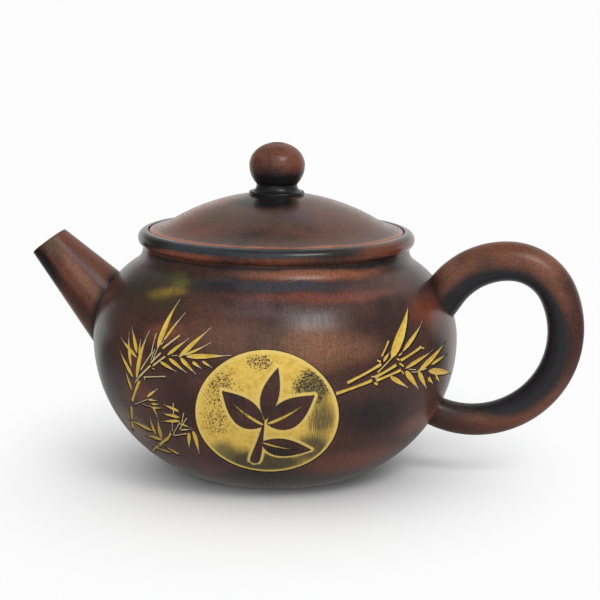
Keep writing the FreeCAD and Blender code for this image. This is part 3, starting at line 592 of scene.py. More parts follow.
# Lid: a warmer brown than the belly, with a painted dark reflection of the knob before it, a painted sheen
# at the upper left, painted shade at the right edge and a pale rim.
lid_clay = burnished_clay("smoked_lid_clay", "#5a3a2e", [
    ((-25.0, -6.0, 69.0), (14.0, 20.0, 8.0), 0.2, 0.9, "#7d4834"),
    ((25.0, -6.0, 69.0), (16.0, 20.0, 8.0), 0.2, 0.9, "#5f3829"),
    # Painted sheen: a lighter patch on the upper left of the lid.
    ((-14.0, -4.0, 71.5), (9.0, 8.0, 4.0), 0.2, 0.8, "#8c6048"),
    ((2.0, -20.0, 71.0), (17.0, 8.0, 6.0), 0.2, 0.8, "#45332c"),
    ((-13.0, -18.0, 71.0), (7.0, 6.0, 5.0), 0.2, 0.8, "#453a1c"),
    ((9.0, -17.0, 71.5), (7.0, 6.0, 5.0), 0.2, 0.6, "#4c3440"),
    ((0.0, -29.0, 67.0), (26.0, 6.0, 5.0), 0.2, 0.7, "#42322b"),
    # Painted reflection: the dark mirror image of the knob on the lid in front of it.
    ((-1.0, -10.5, 73.8), (11.0, 8.5, 5.0), 0.4, 1.2, SMOKE_AND_SHADE_BLACK),
    ((6.0, 22.0, 70.0), (20.0, 12.0, 6.0), 0.2, 0.8, SMOKE_AND_SHADE_BLACK),
    # Painted shade: darker clay at the right edge, under the sheen there.
    ((33.0, -6.0, 66.0), (7.0, 14.0, 4.0), 0.2, 0.6, "#3f2922"),
    band(64.2, 0.6, 0.5, 0.9, "#9c5d43"),
], "round", gloss=(0.2, 0.32), drift=0.4)
# Knob: black at the foot and red-brown on top.
knob_clay = burnished_clay("smoked_knob_clay", "#6e3f2e", [
    band(72.6, 9.6, 0.5, 1.3, SMOKE_AND_SHADE_BLACK),
], "round")
print("clay so far:", [clay.name for clay in (pot_clay, ring_clay, lid_clay, knob_clay)])

# %% Clay of the spout and the handle
SPOUT_ANGLE = math.radians(45.4)
SPOUT_LIP = Vector((-62.8, 0.0, 58.89))
# Spout: a pale streak along its side that is a painted highlight, and nearly black under the lip and along
# its seam.
# Its patches lie in its own frame: to the underside, away from the eye, and inwards from the lip.
spout_clay = burnished_clay("smoked_spout_clay", "#6e4030", [
    # Painted highlight: a pale streak along the side of the spout.
    ((-2.3, -6.0, 17.0), (2.2, 5.0, 17.0), 0.3, 0.9, "#855a43"),
    ((-4.5, -5.0, 15.0), (1.2, 5.0, 17.0), 0.3, 0.8, "#583336"),
    ((3.6, -5.0, 16.0), (3.2, 9.0, 22.0), 0.4, 0.95, "#48261d"),
    ((-1.5, -4.5, 2.0), (3.5, 5.0, 5.0), 0.3, 0.8, "#5d4a36"),
    ((4.4, -3.0, 3.0), (4.4, 9.0, 12.0), 0.5, 1.0, "#1a1413"),
], "along", SPOUT_LIP, (0.0, math.pi / 2.0 + SPOUT_ANGLE, 0.0),
    drift=0.6, own_patches=True, luted=0.95)
HANDLE_CENTRE = (60.0, 0.0, 37.5)
# Handle: brown outside, with a lighter red-brown crest that is partly its own colour and partly painted
# highlight, a painted highlight on its upper bend, and blue-black on the inner side of the ring.
handle_clay = burnished_clay("smoked_handle_clay", "#4b2d26", [
    # Red-brown over the middle of the tube, partly the clay's colour and partly a painted highlight along
    # the tube.
    ((60.5, 0.0, 39.0), (20.5, 40.0, 28.5), 0.82, 1.0, "#6f422e"),
    ((79.0, 0.0, 38.0), (8.0, 14.0, 17.0), 0.3, 0.9, "#452922"),
    ((60.0, 0.0, 13.0), (16.0, 14.0, 5.0), 0.3, 0.5, "#4f2f26"),
    # Painted highlight: a lighter patch on the crest of the upper bend.
    ((73.0, -4.0, 58.0), (12.0, 14.0, 6.0), 0.2, 0.7, "#80503a"),
    ((56.0, 0.0, 58.5), (5.0, 12.0, 4.0), 0.2, 0.6, "#2f2420"),
    (HANDLE_CENTRE, (19.8, 40.0, 21.8), 0.85, 1.0, "#242327"),
    ((51.0, 0.0, 19.5), (9.0, 12.0, 4.0), 0.3, 0.75, "#26272b"),
    ((47.0, 0.0, 48.5), (4.0, 12.0, 3.4), 0.3, 0.65, SMOKE_AND_SHADE_BLACK),
    ((45.5, 0.0, 56.5), (6.5, 12.0, 5.5), 0.3, 0.85, "#7d5340"),
], "round", HANDLE_CENTRE, (math.pi / 2.0, 0.0, 0.0), drift=0.9, luted=0.35)
print("spout falls by", round(math.degrees(SPOUT_ANGLE), 1), "degrees from its lip")

# %% Clay on the pieces
# Inside pieces: clay that no stone has rubbed, dull and even.
raw_clay = burnished_clay("unburnished_clay", "#5f3c30", [], "round", gloss=(0.65, 0.8))
finishes = {
    "shoulder_slab": pot_clay, "base_disc": pot_clay, "mouth_ring": ring_clay, "spout": spout_clay,
    "ball_strainer": raw_clay, "handle": handle_clay, "lid_disc": lid_clay, "lid_flange": raw_clay,
    "knob_collar": knob_clay, "knob": knob_clay,
}
for name, finish in finishes.items():
    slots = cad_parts[name].data.materials
    slots.clear()
    slots.append(finish)
print("clay finishes:", sorted({finish.name for finish in finishes.values()}))

# %% [markdown]
# Two node trees for the slab
#
# Bamboo is drawn with few strokes: pointed leaves and short cane joints. One tree lays such a
# stroke on every root point, with the point's own turn, reach, breadth and bow, so the
# ornament is a short table. The second tree winds anything flat round the pot: it looks up
# the section at the height on the slab, moves out by the thickness and turns by the distance round.

# %% Geometry tree helpers
def geometry_tree(name, inputs):
    """An empty geometry tree with named inputs, and the sockets that give them."""
    tree = bpy.data.node_groups.new(name, "GeometryNodeTree")
    tree.interface.new_socket("Geometry", in_out="INPUT", socket_type="NodeSocketGeometry")
    for label, kind in inputs.items():
        tree.interface.new_socket(label, in_out="INPUT", socket_type=kind)
    tree.interface.new_socket("Geometry", in_out="OUTPUT", socket_type="NodeSocketGeometry")
    return tree, node(tree, "NodeGroupInput", out=None)


def settle(piece, tree, settings):
    """Run a tree on a piece with named settings and keep the result as its plain mesh."""
    modifier = piece.modifiers.new(tree.name, "NODES")
    modifier.node_group = tree
    for socket in tree.interface.items_tree:
        if socket.in_out == "INPUT" and socket.name in settings:
            modifier[socket.identifier] = settings[socket.name]
    graph = bpy.context.evaluated_depsgraph_get()
    made = bpy.data.meshes.new_from_object(
        piece.evaluated_get(graph), preserve_all_data_layers=True, depsgraph=graph
    )
    piece.modifiers.remove(modifier)
    blank = piece.data
    piece.data = made
    bpy.data.meshes.remove(blank)
    made.name = piece.name
    return piece


def new_piece(name, points, faces):
    """A mesh object from points in millimetres."""
    mesh = bpy.data.meshes.new(name)
    mesh.from_pydata([Vector(p) * MM for p in points], [], faces)
    piece = bpy.data.objects.new(name, mesh)
    scene.collection.objects.link(piece)
    return piece


# %% Tree that lays a strip on every root
STRIP_ROWS = 13
STRIP_COLUMNS = 3
ATTRIBUTE = "GeometryNodeInputNamedAttribute"
STORE = "GeometryNodeStoreNamedAttribute"

stroke_tree, given = geometry_tree("bamboo_strokes", {
    "Rows": "NodeSocketInt",
    "Gap": "NodeSocketFloat",
    "Gold": "NodeSocketMaterial",
})
tree = stroke_tree
where = node(tree, "GeometryNodeInputPosition")
rooted = node(tree, STORE, {
    "Geometry": given["Geometry"], "Name": "root", "Value": where,
}, data_type="FLOAT_VECTOR")
strip = node(tree, "GeometryNodeMeshGrid", {
    "Size X": 1.0, "Size Y": 2.0, "Vertices X": given["Rows"], "Vertices Y": STRIP_COLUMNS,
}, "Mesh")
strip_place = node(tree, SPLIT, (where,), None)
from_foot = node(tree, MATH, (strip_place["X"], 0.5), operation="ADD")
for label, value in (("along", from_foot), ("side", strip_place["Y"])):
    strip = node(tree, STORE, {"Geometry": strip, "Name": label, "Value": value}, data_type="FLOAT")
laid = node(tree, "GeometryNodeInstanceOnPoints", {"Points": rooted, "Instance": strip})
real = node(tree, "GeometryNodeRealizeInstances", {"Geometry": laid})
read = {}
for label in ("along", "side", "turn", "reach", "breadth", "bow", "cane"):
    read[label] = node(tree, ATTRIBUTE, {"Name": label}, "Attribute", data_type="FLOAT")
root = node(tree, ATTRIBUTE, {"Name": "root"}, "Attribute", data_type="FLOAT_VECTOR")
print("a strip has", STRIP_ROWS * STRIP_COLUMNS, "points")

# %% Rest of the tree, which makes each strip a leaf or a cane
# Powers with which a leaf swells from its root and tapers to its tip, and where it is widest.
LEAF_ROOT = 0.65
LEAF_TIP = 1.6
WIDEST = LEAF_ROOT / (LEAF_ROOT + LEAF_TIP)
LEAF_PEAK = WIDEST ** LEAF_ROOT * (1.0 - WIDEST) ** LEAF_TIP
# Share by which a cane is narrower in the middle, and half the breadth of a leaf's ends in mm.
CANE_WAIST = 0.22
STROKE_END = 0.13

to_tip = node(tree, MATH, (1.0, read["along"]), operation="SUBTRACT")
to_tip = node(tree, MATH, (to_tip, 0.0), operation="MAXIMUM")
swelling = node(tree, MATH, (read["along"], LEAF_ROOT), operation="POWER")
tapering = node(tree, MATH, (to_tip, LEAF_TIP), operation="POWER")
leaf_form = node(tree, MATH, (swelling, tapering), operation="MULTIPLY")
leaf_width = node(tree, MATH, (leaf_form, LEAF_PEAK), operation="DIVIDE")
half_turn = node(tree, MATH, (read["along"], math.pi), operation="MULTIPLY")
hollow = node(tree, MATH, (half_turn,), operation="SINE")
waist = node(tree, MATH, (hollow, CANE_WAIST), operation="MULTIPLY")
cane_width = node(tree, MATH, (1.0, waist), operation="SUBTRACT")
width = node(tree, MIX, {0: read["cane"], 2: leaf_width, 3: cane_width})
half_breadth = node(tree, MATH, (read["breadth"], 0.5), operation="MULTIPLY")
half_drawn = node(tree, MATH, (half_breadth, given["Gap"]), operation="SUBTRACT")
half_gap = node(tree, MATH, (given["Gap"], 0.5), operation="MULTIPLY")
slender = node(tree, MATH, (STROKE_END * MM, half_gap), operation="SUBTRACT")
wide = node(tree, MATH, (half_drawn, width), operation="MULTIPLY")
wide = node(tree, MATH, (wide, slender), operation="MAXIMUM")
aside = node(tree, MATH, (wide, read["side"]), operation="MULTIPLY")
squared = node(tree, MATH, (read["along"], 2.0), operation="POWER")
bend = node(tree, MATH, (read["bow"], squared), operation="MULTIPLY")
bent_aside = node(tree, MATH, (aside, bend), operation="ADD")
ahead = node(tree, MATH, (read["along"], read["reach"]), operation="MULTIPLY")
turned = node(tree, "ShaderNodeVectorRotate", {
    "Vector": node(tree, JOIN, (ahead, bent_aside)), "Angle": read["turn"],
}, rotation_type="Z_AXIS")
placed = node(tree, VECTOR, (turned, root), operation="ADD")
drawn = node(tree, "GeometryNodeSetPosition", {"Geometry": real, "Position": placed})
gilt = node(tree, "GeometryNodeSetMaterial", {"Geometry": drawn, "Material": given["Gold"]})
node(tree, "NodeGroupOutput", {"Geometry": gilt}, None)
print("stroke tree:", len(stroke_tree.nodes), "nodes")

# %% Tree that winds the slab round the pot
SEAM_MERGE = 0.002 * MM

winding_tree, given = geometry_tree("wind_round_pot", {
    "Section": "NodeSocketObject",
    "Section start": "NodeSocketFloat",
    "Belly radius": "NodeSocketFloat",
    "Seam": "NodeSocketFloat",
    "Finish": "NodeSocketMaterial",
})
tree = winding_tree
slab = node(tree, SPLIT, (node(tree, "GeometryNodeInputPosition"),), None)
section = node(tree, "GeometryNodeObjectInfo", {"Object": given["Section"]}, "Geometry")
up_section = node(tree, MATH, (slab["Y"], given["Section start"]), operation="SUBTRACT")
sample = node(tree, "GeometryNodeSampleCurve", {
    "Curves": section, "Length": up_section,
}, None, mode="LENGTH")
spot = node(tree, SPLIT, (sample["Position"],), None)
slope = node(tree, SPLIT, (sample["Tangent"],), None)
outwards = node(tree, MATH, (slab["Z"], slope["Z"]), operation="MULTIPLY")
upwards = node(tree, MATH, (slab["Z"], slope["X"]), operation="MULTIPLY")
across = node(tree, MATH, (spot["X"], outwards), operation="ADD")
height = node(tree, MATH, (spot["Z"], upwards), operation="SUBTRACT")
round_pot = node(tree, MATH, (slab["X"], given["Belly radius"]), operation="DIVIDE")
round_sine = node(tree, MATH, (round_pot,), operation="SINE")
round_cosine = node(tree, MATH, (round_pot,), operation="COSINE")
sideways = node(tree, MATH, (across, round_sine), operation="MULTIPLY")
forwards = node(tree, MATH, (across, round_cosine), operation="MULTIPLY")
backwards = node(tree, MATH, (forwards, -1.0), operation="MULTIPLY")
bent = node(tree, JOIN, (sideways, backwards, height))
wound = node(tree, "GeometryNodeSetPosition", {"Geometry": given["Geometry"], "Position": bent})
closed = node(tree, "GeometryNodeMergeByDistance", {"Geometry": wound, "Distance": given["Seam"]})
whole = node(tree, "GeometryNodeRealizeInstances", {"Geometry": closed})
dressed = node(tree, "GeometryNodeSetMaterial", {"Geometry": whole, "Material": given["Finish"]})
node(tree, "NodeGroupOutput", {"Geometry": dressed}, None)


def wind(piece, finish):
    """Wind a flat piece round the pot in its finish."""
    return settle(piece, winding_tree, {
        "Section": wall_section,
        "Section start": RUN_BOTTOM * MM,
        "Belly radius": BELLY_RADIUS * MM,
        "Seam": SEAM_MERGE,
        "Finish": finish,
    })


print("winding tree:", len(winding_tree.nodes), "nodes")

# %% [markdown]
# The bamboo
#
# Each row is one knife stroke on the slab: where it starts and ends, how broad it is and how far
# its tip bows to the left. Canes have a waist and blunt ends, leaves are pointed. A traditional
# ornament like this is drawn freely, so no two leaves are alike.

# %% Right spray
# Both ends of a stroke as read off the photograph, round the pot and up the section in mm,
# then its breadth, and how far its tip bows to the left where it does.
RIGHT_CANES = [
    (24.0, -5.2, 33.9, -2.6, 1.05), (26.8, -2.6, 36.4, 1.3, 1.0), (34.6, -1.9, 41.4, 0.6, 1.05),
    (35.0, -2.8, 43.0, -1.0, 0.95), (35.3, -0.7, 39.8, 2.6, 0.6), (36.6, 3.2, 39.4, 6.9, 0.75),
    (42.6, 1.4, 50.8, 3.7, 0.95), (50.6, 3.7, 52.1, 3.1, 0.6), (35.0, 2.4, 36.3, 1.9, 0.7),
    (33.3, -1.5, 35.5, -1.9, 0.55), (34.3, -3.2, 35.6, -3.9, 0.85), (41.2, 2.2, 42.3, 1.6, 0.6),
    (42.0, 0.9, 43.8, -0.2, 0.7), (43.0, -1.2, 44.0, -2.2, 0.65), (42.0, 2.7, 43.4, 3.3, 0.6),
    (45.5, -1.2, 48.5, -1.8, 0.4), (46.5, -2.0, 48.8, -2.5, 0.4), (48.8, -2.3, 53.0, -2.2, 0.4),
]
RIGHT_LEAVES = [
    (39.4, 2.2, 51.0, 15.3, 2.9, -1.6), (43.4, 3.6, 53.9, 10.1, 1.35), (37.0, 1.9, 39.4, 4.2, 1.1),
    (44.2, -0.8, 56.2, 2.2, 1.25), (39.4, -2.3, 46.2, -6.2, 1.35), (44.3, -1.4, 50.7, -7.4, 1.7),
    (49.4, -2.4, 54.6, -8.0, 1.6), (49.4, -2.2, 64.3, 3.1, 1.9), (55.0, -1.55, 64.7, -0.4, 1.1),
    (53.9, -2.9, 71.9, -7.1, 1.9), (54.1, -4.7, 57.7, -7.2, 1.15), (58.3, -5.0, 62.1, -7.6, 0.95),
]
print("right spray:", len(RIGHT_CANES), "canes,", len(RIGHT_LEAVES), "leaves")

# %% Left spray
# Some leaves were read too broad, and are drawn at this share of the reading.
SLIM = 0.82
LEFT_CANES = [
    (-29.3, -4.0, -25.0, -0.4, 0.65), (-28.7, -2.2, -24.6, 3.0, 0.5), (-25.1, 0.1, -21.8, 3.3, 0.65),
    (-24.4, -0.5, -20.3, 2.6, 0.65), (-24.9, 3.0, -24.4, 8.0, 0.45), (-25.0, 0.9, -23.9, 4.0, 0.35),
    (-24.2, 1.5, -23.0, 4.3, 0.4), (-21.5, 4.3, -16.8, 8.2, 0.7), (-27.8, -3.9, -20.2, -2.5, 0.45),
    (-27.6, -4.7, -27.2, -3.5, 0.4), (-22.2, 5.2, -21.4, 6.1, 0.45), (-24.7, -1.1, -23.7, -1.3, 0.4),
    (-18.5, 2.9, -16.6, 3.2, 0.35), (-34.6, -12.0, -29.4, -5.1, 1.0), (-31.4, -6.0, -29.0, -3.6, 0.45),
    (-38.8, -18.6, -35.7, -13.4, 1.25), (-43.5, -22.8, -39.2, -19.0, 1.15),
    (-36.4, -17.8, -34.8, -16.0, 0.45), (-33.8, -12.6, -27.5, -9.9, 0.4),
    (-30.0, -11.7, -26.4, -11.9, 0.35), (-43.0, -31.5, -31.2, -25.5, 0.85),
    (-31.0, -25.4, -24.4, -21.3, 1.15), (-24.4, -21.3, -22.3, -19.2, 0.8),
    (-22.7, -19.8, -22.2, -18.1, 0.4), (-21.5, -19.8, -16.5, -18.3, 0.5),
    (-21.6, -19.5, -17.8, -15.0, 0.4), (-21.5, -18.5, -20.3, -15.2, 0.35),
    (-18.5, -17.2, -15.1, -13.2, 0.4), (-17.1, -14.9, -15.8, -11.6, 0.4),
    (-19.3, -12.8, -18.6, -9.2, 0.4),
]
LEFT_LEAVES = [
    (-23.1, 4.2, -20.5, 17.8, SLIM * 2.1), (-21.5, 6.3, -16.9, 14.3, SLIM * 1.0),
    (-19.8, 2.9, -14.0, 7.8, 1.0), (-16.3, 2.8, -8.4, 11.1, SLIM * 1.6),
    (-14.8, 3.5, -7.8, 7.3, 0.75, 0.8), (-14.2, 3.2, -2.3, 4.5, SLIM * 1.7),
    (-21.9, 0.9, -16.9, -0.9, 1.05), (-19.3, 2.2, -13.9, -0.9, 1.15), (-15.9, 2.7, -11.4, -1.0, 1.25),
    (-12.5, 2.1, -9.9, 0.6, 1.0), (-9.8, 2.5, -7.2, 1.1, 0.8), (-30.6, -4.6, -26.9, 8.4, SLIM * 1.7),
    (-30.2, 0.8, -38.0, 4.7, 1.15), (-32.5, -1.9, -34.5, 6.9, 1.2), (-30.3, 2.0, -34.1, 8.2, 1.3, 1.5),
    (-29.3, 1.5, -29.4, 5.7, 0.75), (-32.0, -4.7, -37.8, 1.8, 1.4), (-33.4, -8.4, -35.1, -3.0, 1.05),
    (-27.5, -9.2, -22.9, -6.1, 0.85), (-27.3, -9.9, -23.8, -9.6, 0.8), (-26.4, -11.0, -23.4, -10.5, 0.8),
    (-26.6, -12.1, -22.7, -11.5, 0.75), (-26.1, -11.7, -25.1, -15.1, SLIM * 1.0),
    (-17.3, -11.6, -22.4, -10.2, 1.05), (-17.5, -13.4, -23.7, -13.1, 1.15),
    (-17.7, -14.5, -24.4, -15.7, 1.1), (-18.0, -15.3, -14.4, -16.1, SLIM * 0.85),
    (-18.2, -17.4, -14.2, -16.4, SLIM * 0.75), (-15.6, -17.7, -17.8, -23.8, 1.15),
    (-14.2, -16.9, -15.0, -25.3, 1.4, -1.4), (-29.4, -21.1, -28.4, -14.7, 1.25),
    (-27.5, -22.0, -25.4, -15.1, 1.5), (-29.8, -19.8, -41.0, -18.6, 1.7),
    (-27.3, -22.3, -35.6, -22.8, 1.7), (-23.4, -27.4, -28.9, -24.8, 1.5),
    (-27.0, -27.5, -37.0, -27.2, 1.3),
]
print("left spray:", len(LEFT_CANES), "canes,", len(LEFT_LEAVES), "leaves")

# %% Outlines and depth of the strokes
def stroke(start_x, start_y, end_x, end_y, breadth, bow=0.0):
    """Start of a stroke, its turn to a degree, its reach to a tenth of a mm, its breadth and its bow."""
    reach = math.hypot(end_x - start_x, end_y - start_y)
    chord = math.degrees(math.atan2(end_y - start_y, end_x - start_x))
    turn = chord - math.degrees(math.asin(bow / reach))
    return start_x, start_y, round(turn), round(reach, 1), round(breadth, 2), bow


# A last column tells canes, 1, from leaves, 0.
STROKES = [(*stroke(*row), 1.0) for row in RIGHT_CANES + LEFT_CANES]
STROKES += [(*stroke(*row), 0.0) for row in RIGHT_LEAVES + LEFT_LEAVES]
# Gap inside the stroke's edge in mm: the knife goes wider, and wiping leaves the gold narrower,
# with a dark edge. The gold is shifted up and to the left, so that edge shows more on the lower right as
# painted shadow of the cut.
CUT_EDGE = -0.15
GOLD_GAP = 0.07
GOLD_OFFSET_FOR_SHADOW = Vector((-0.07, 0.1))
RIM_CUT = 0.26
KEEL_CUT = 0.55
FULL_KEEL_WIDTH = 0.6


def stroke_lines(gap):
    """Outline and keel of every stroke on the flat slab, in mm, drawn by the stroke tree."""
    roots = new_piece("stroke_roots", [(row[0], row[1], 0.0) for row in STROKES], [])
    for column, label in enumerate(("turn", "reach", "breadth", "bow", "cane"), start=2):
        values = [row[column] for row in STROKES]
        if label == "turn":
            values = [math.radians(value) for value in values]
        elif label != "cane":
            values = [value * MM for value in values]
        roots.data.attributes.new(label, "FLOAT", "POINT").data.foreach_set("value", values)
    settle(roots, stroke_tree, {"Rows": STRIP_ROWS, "Gap": gap * MM})
    mesh = roots.data
    sides = [round(item.value) for item in mesh.attributes["side"].data]
    steps = [item.value for item in mesh.attributes["along"].data]
    each = STRIP_ROWS * STRIP_COLUMNS
    lines = []
    for first in range(0, len(mesh.vertices), each):
        rows = {-1: [], 0: [], 1: []}
        for index in sorted(range(first, first + each), key=steps.__getitem__):
            rows[sides[index]].append(mesh.vertices[index].co.xy / MM)
        lines.append((rows[-1] + rows[1][::-1], rows[0]))
    bpy.data.objects.remove(roots)
    bpy.data.meshes.remove(mesh)
    return lines


def in_strokes(place, shift=Vector((0.0, 0.0))):
    """Strokes that hold a place: share of the way along, half breadth there, distance from the keel."""
    for x, y, turn, reach, breadth, bow, cane in STROKES:
        offset = place - Vector((x, y)) - shift
        heading = math.radians(turn)
        along = (offset.x * math.cos(heading) + offset.y * math.sin(heading)) / reach
        if not 0.0 <= along < 1.0:
            continue
        if cane:
            half = 0.5 * breadth * (1.0 - CANE_WAIST * math.sin(math.pi * along))
        else:
            form = along ** LEAF_ROOT * (1.0 - along) ** LEAF_TIP / LEAF_PEAK
            half = max(0.5 * breadth * form, STROKE_END)
        aside = offset.y * math.cos(heading) - offset.x * math.sin(heading) - bow * along ** 2
        if abs(aside) < half:
            yield along, half, abs(aside)


def stroke_depth(place):
    """Depth of the knife cut at a place on the slab: deep along a keel, shallow at the rim."""
    depth = RIM_CUT
    for along, half, aside in in_strokes(place):
        if along > 0.0:
            keel = KEEL_CUT * min(1.0, half / FULL_KEEL_WIDTH)
            depth = max(depth, RIM_CUT + max(keel - RIM_CUT, 0.0) * (1.0 - aside / half))
    return depth


cut_lines = stroke_lines(CUT_EDGE)
gold_lines = [
    ([place + GOLD_OFFSET_FOR_SHADOW for place in line], [place + GOLD_OFFSET_FOR_SHADOW for place in keel])
    for line, keel in stroke_lines(GOLD_GAP)
]
print("strokes:", len(cut_lines))

# %% [markdown]
# The round panel
#
# The panel is a shallow round field, cut straight in along one axis and laid with gold. A sprig
# of tea, two leaves and a bud with one leaf below, is left standing in the clay. Its outlines are
# drawn in the plane of the panel and sent along the panel's axis until they meet the wall.

# %% Panel axis
PANEL_TURN = math.radians(7.6)
PANEL_TILT = math.radians(18.7)
PANEL_RADIUS = 17.92
PANEL_DEPTH = 0.6
PANEL_FILL = 0.4
START_SHARE = 1.3
HALVINGS = 50

panel_right = Vector((math.cos(PANEL_TURN), math.sin(PANEL_TURN), 0.0))
panel_out = Vector((
    math.sin(PANEL_TURN) * math.cos(PANEL_TILT),
    -math.cos(PANEL_TURN) * math.cos(PANEL_TILT),
    -math.sin(PANEL_TILT),
))
panel_up = panel_out.cross(panel_right)
BELLY_CENTRE = BELLY_RADIUS - BELLY_CURVE
panel_centre = Vector((
    BELLY_CENTRE * math.sin(PANEL_TURN), -BELLY_CENTRE * math.cos(PANEL_TURN), BELLY_HEIGHT,
))


def pierce(start, heading, level):
    """Point where a straight line comes to a level above the wall surface, found by halving."""
    near, far = 0.0, BELLY_RADIUS
    for _ in range(HALVINGS):
        middle = (near + far) / 2.0
        if outside_by(start + heading * middle)[0] > level:
            near = middle
        else:
            far = middle
    return start + heading * near


def on_panel(right, up):
    """Slab position of a place in the panel's plane."""
    start = panel_centre + panel_out * START_SHARE * BELLY_RADIUS + panel_right * right + panel_up * up
    return unrolled(pierce(start, -panel_out, 0.0))


print("middle of the panel on the slab:", [round(c, 1) for c in on_panel(0.0, 0.0)])

# %% Sprig and rim of the panel
PANEL_STEPS = 144
PANEL_GAP = 0.12
LEAF_STEPS = 28
LEAF_ROUNDING = 0.9
LEAF_POINT = 0.03


def leaf_outline(foot, turn, reach, breadth, bow, belly):
    """A leaf in the panel's plane as (right, up) pairs, anticlockwise."""
    heading = math.radians(turn)
    sides = ([], [])
    for step in range(LEAF_STEPS + 1):
        along = step / LEAF_STEPS
        fullness = math.sin(math.pi * along ** belly) ** LEAF_ROUNDING
        wide = 0.5 * breadth * max(fullness, LEAF_POINT)
        for side, line in zip((-1.0, 1.0), sides):
            ahead = along * reach
            aside = side * wide + bow * along ** 2
            line.append((
                foot[0] + ahead * math.cos(heading) - aside * math.sin(heading),
                foot[1] + ahead * math.sin(heading) + aside * math.cos(heading),
            ))
    return sides[0] + sides[1][::-1]


# Foot, turn in degrees, reach, breadth and bow in mm, and belly: the less, the wider near the foot.
TEA_LEAVES = [
    ((-0.2, 0.6), 84, 13.6, 4.4, -1.6, 0.95),
    ((-0.6, -1.0), 152, 13.0, 7.6, -2.6, 0.8),
    ((0.2, -0.6), 22, 13.4, 7.8, 2.4, 0.8),
    ((-1.2, -6.4), -24, 12.4, 6.0, 2.0, 0.8),
]
TEA_STEM = ((-3.4, -14.2), 76, 15.6, 2.4, 0.8, 0.35)
# Shares of its leaf's reach, breadth and bow that a vein has, and its belly.
VEIN_REACH, VEIN_BREADTH, VEIN_BOW, VEIN_BELLY = 0.82, 0.12, 0.67, 0.45
sprig = [leaf_outline(*row) for row in TEA_LEAVES + [TEA_STEM]]
veins = []
for foot, turn, reach, breadth, bow, _ in TEA_LEAVES[1:]:
    vein = (reach * VEIN_REACH, breadth * VEIN_BREADTH, bow * VEIN_BOW, VEIN_BELLY)
    veins.append(leaf_outline(foot, turn, *vein))
circle = []
for step in range(PANEL_STEPS):
    turn = math.tau * step / PANEL_STEPS
    circle.append((PANEL_RADIUS * math.cos(turn), PANEL_RADIUS * math.sin(turn)))
panel_rim = [on_panel(*place) for place in circle]
gold_share = 1.0 - PANEL_GAP / PANEL_RADIUS
gold_rim = [on_panel(right * gold_share, up * gold_share) for right, up in circle]
sprig_lines = [[on_panel(*place) for place in line] for line in sprig]
vein_lines = [[on_panel(*place) for place in line] for line in veins]
print("panel rim:", len(panel_rim), "points, sprig outlines:", len(sprig_lines))

# %% [markdown]
# Hole behind the spout
#
# Tea leaves the pot through a drilled hole at the root of the spout. It runs along the axis of
# the spout, so its two rims, outside and inside the wall, are found by the same halving.

# %% Spout hole
SPOUT_AXIS = Vector((math.cos(SPOUT_ANGLE), 0.0, -math.sin(SPOUT_ANGLE)))
SPOUT_HOLE = 6.4
HOLE_STEPS = 48
spout_side = Vector((0.0, 1.0, 0.0))
spout_over = SPOUT_AXIS.cross(spout_side)
hole_outside = []
hole_inside = []
for step in range(HOLE_STEPS):
    turn = math.tau * step / HOLE_STEPS
    rim = spout_side * math.cos(turn) * SPOUT_HOLE + spout_over * math.sin(turn) * SPOUT_HOLE
    hole_outside.append(unrolled(pierce(SPOUT_LIP + rim, SPOUT_AXIS, 0.0)))
    hole_inside.append(unrolled(pierce(SPOUT_LIP + rim, SPOUT_AXIS, -WALL_THICKNESS)))
hole_runs = [place.y for place in hole_outside]
print("hole spans", round(max(hole_runs) - min(hole_runs), 1), "mm up the wall")

# %% [markdown]
# Carving the slab
#
# All outlines go into one constrained triangulation, which keeps every outline as mesh edges and
# says which outlines hold each triangle. Triangles inside a stroke or the panel go down to the
# floor of the cut, and upright faces join the two levels, so the carving is real relief.

# %% Triangulate
COLUMNS = 264
WALL_ROWS = 54
CLEAR_OF_OUTLINE = 0.45
SAME_POINT = 1e-5
WHOLE_HULL = 0


def lookup(places):
    """A tree that finds the nearest of some places on the slab."""
    finder = KDTree(len(places))
    for index, place in enumerate(places):
        finder.insert(place.to_3d(), index)
    finder.balance()
    return finder


def anticlockwise(line):
    """The outline in anticlockwise order."""
    area = sum(a.x * b.y - b.x * a.y for a, b in zip(line, line[1:] + line[:1]))
    return list(line) if area > 0.0 else list(reversed(line))


def triangulate(outlines, keels, spare):
    """Triangles through outlines, keels and spare points, and the outlines that hold each one."""
    points, faces, edges = [], [], []
    for line in outlines:
        faces.append(list(range(len(points), len(points) + len(line))))
        points += anticlockwise(line)
    for line in keels:
        edges += [(len(points) + step, len(points) + step + 1) for step in range(len(line) - 1)]
        points += line
    taken = lookup(points)
    for point, keep in spare:
        if keep or taken.find(point.to_3d())[2] > CLEAR_OF_OUTLINE:
            points.append(point)
    found = delaunay_2d_cdt(points, edges, faces, WHOLE_HULL, SAME_POINT)
    places, _, triangles, _, _, holders = found
    return places, triangles, [set(owners) for owners in holders]


def wall_grid(low):
    """Even points over the unrolled wall from a lowest run to the joint with the shoulder slab."""
    spare = []
    for row in range(WALL_ROWS + 1):
        run = low + (RUN_TOP - low) * row / WALL_ROWS
        for column in range(COLUMNS + 1):
            edge = row in (0, WALL_ROWS) or column in (0, COLUMNS)
            spare.append((Vector((HALF_ROUND * (2.0 * column / COLUMNS - 1.0), run)), edge))
    return spare


def open_edges(triangles):
    """Edges that bound a set of triangles, in the direction of their triangle."""
    edges = set()
    for corners in triangles:
        edges |= set(zip(corners, corners[1:] + corners[:1]))
    return [(a, b) for a, b in edges if (b, a) not in edges]


print("even points on the wall:", len(wall_grid(RUN_OUTSIDE)))

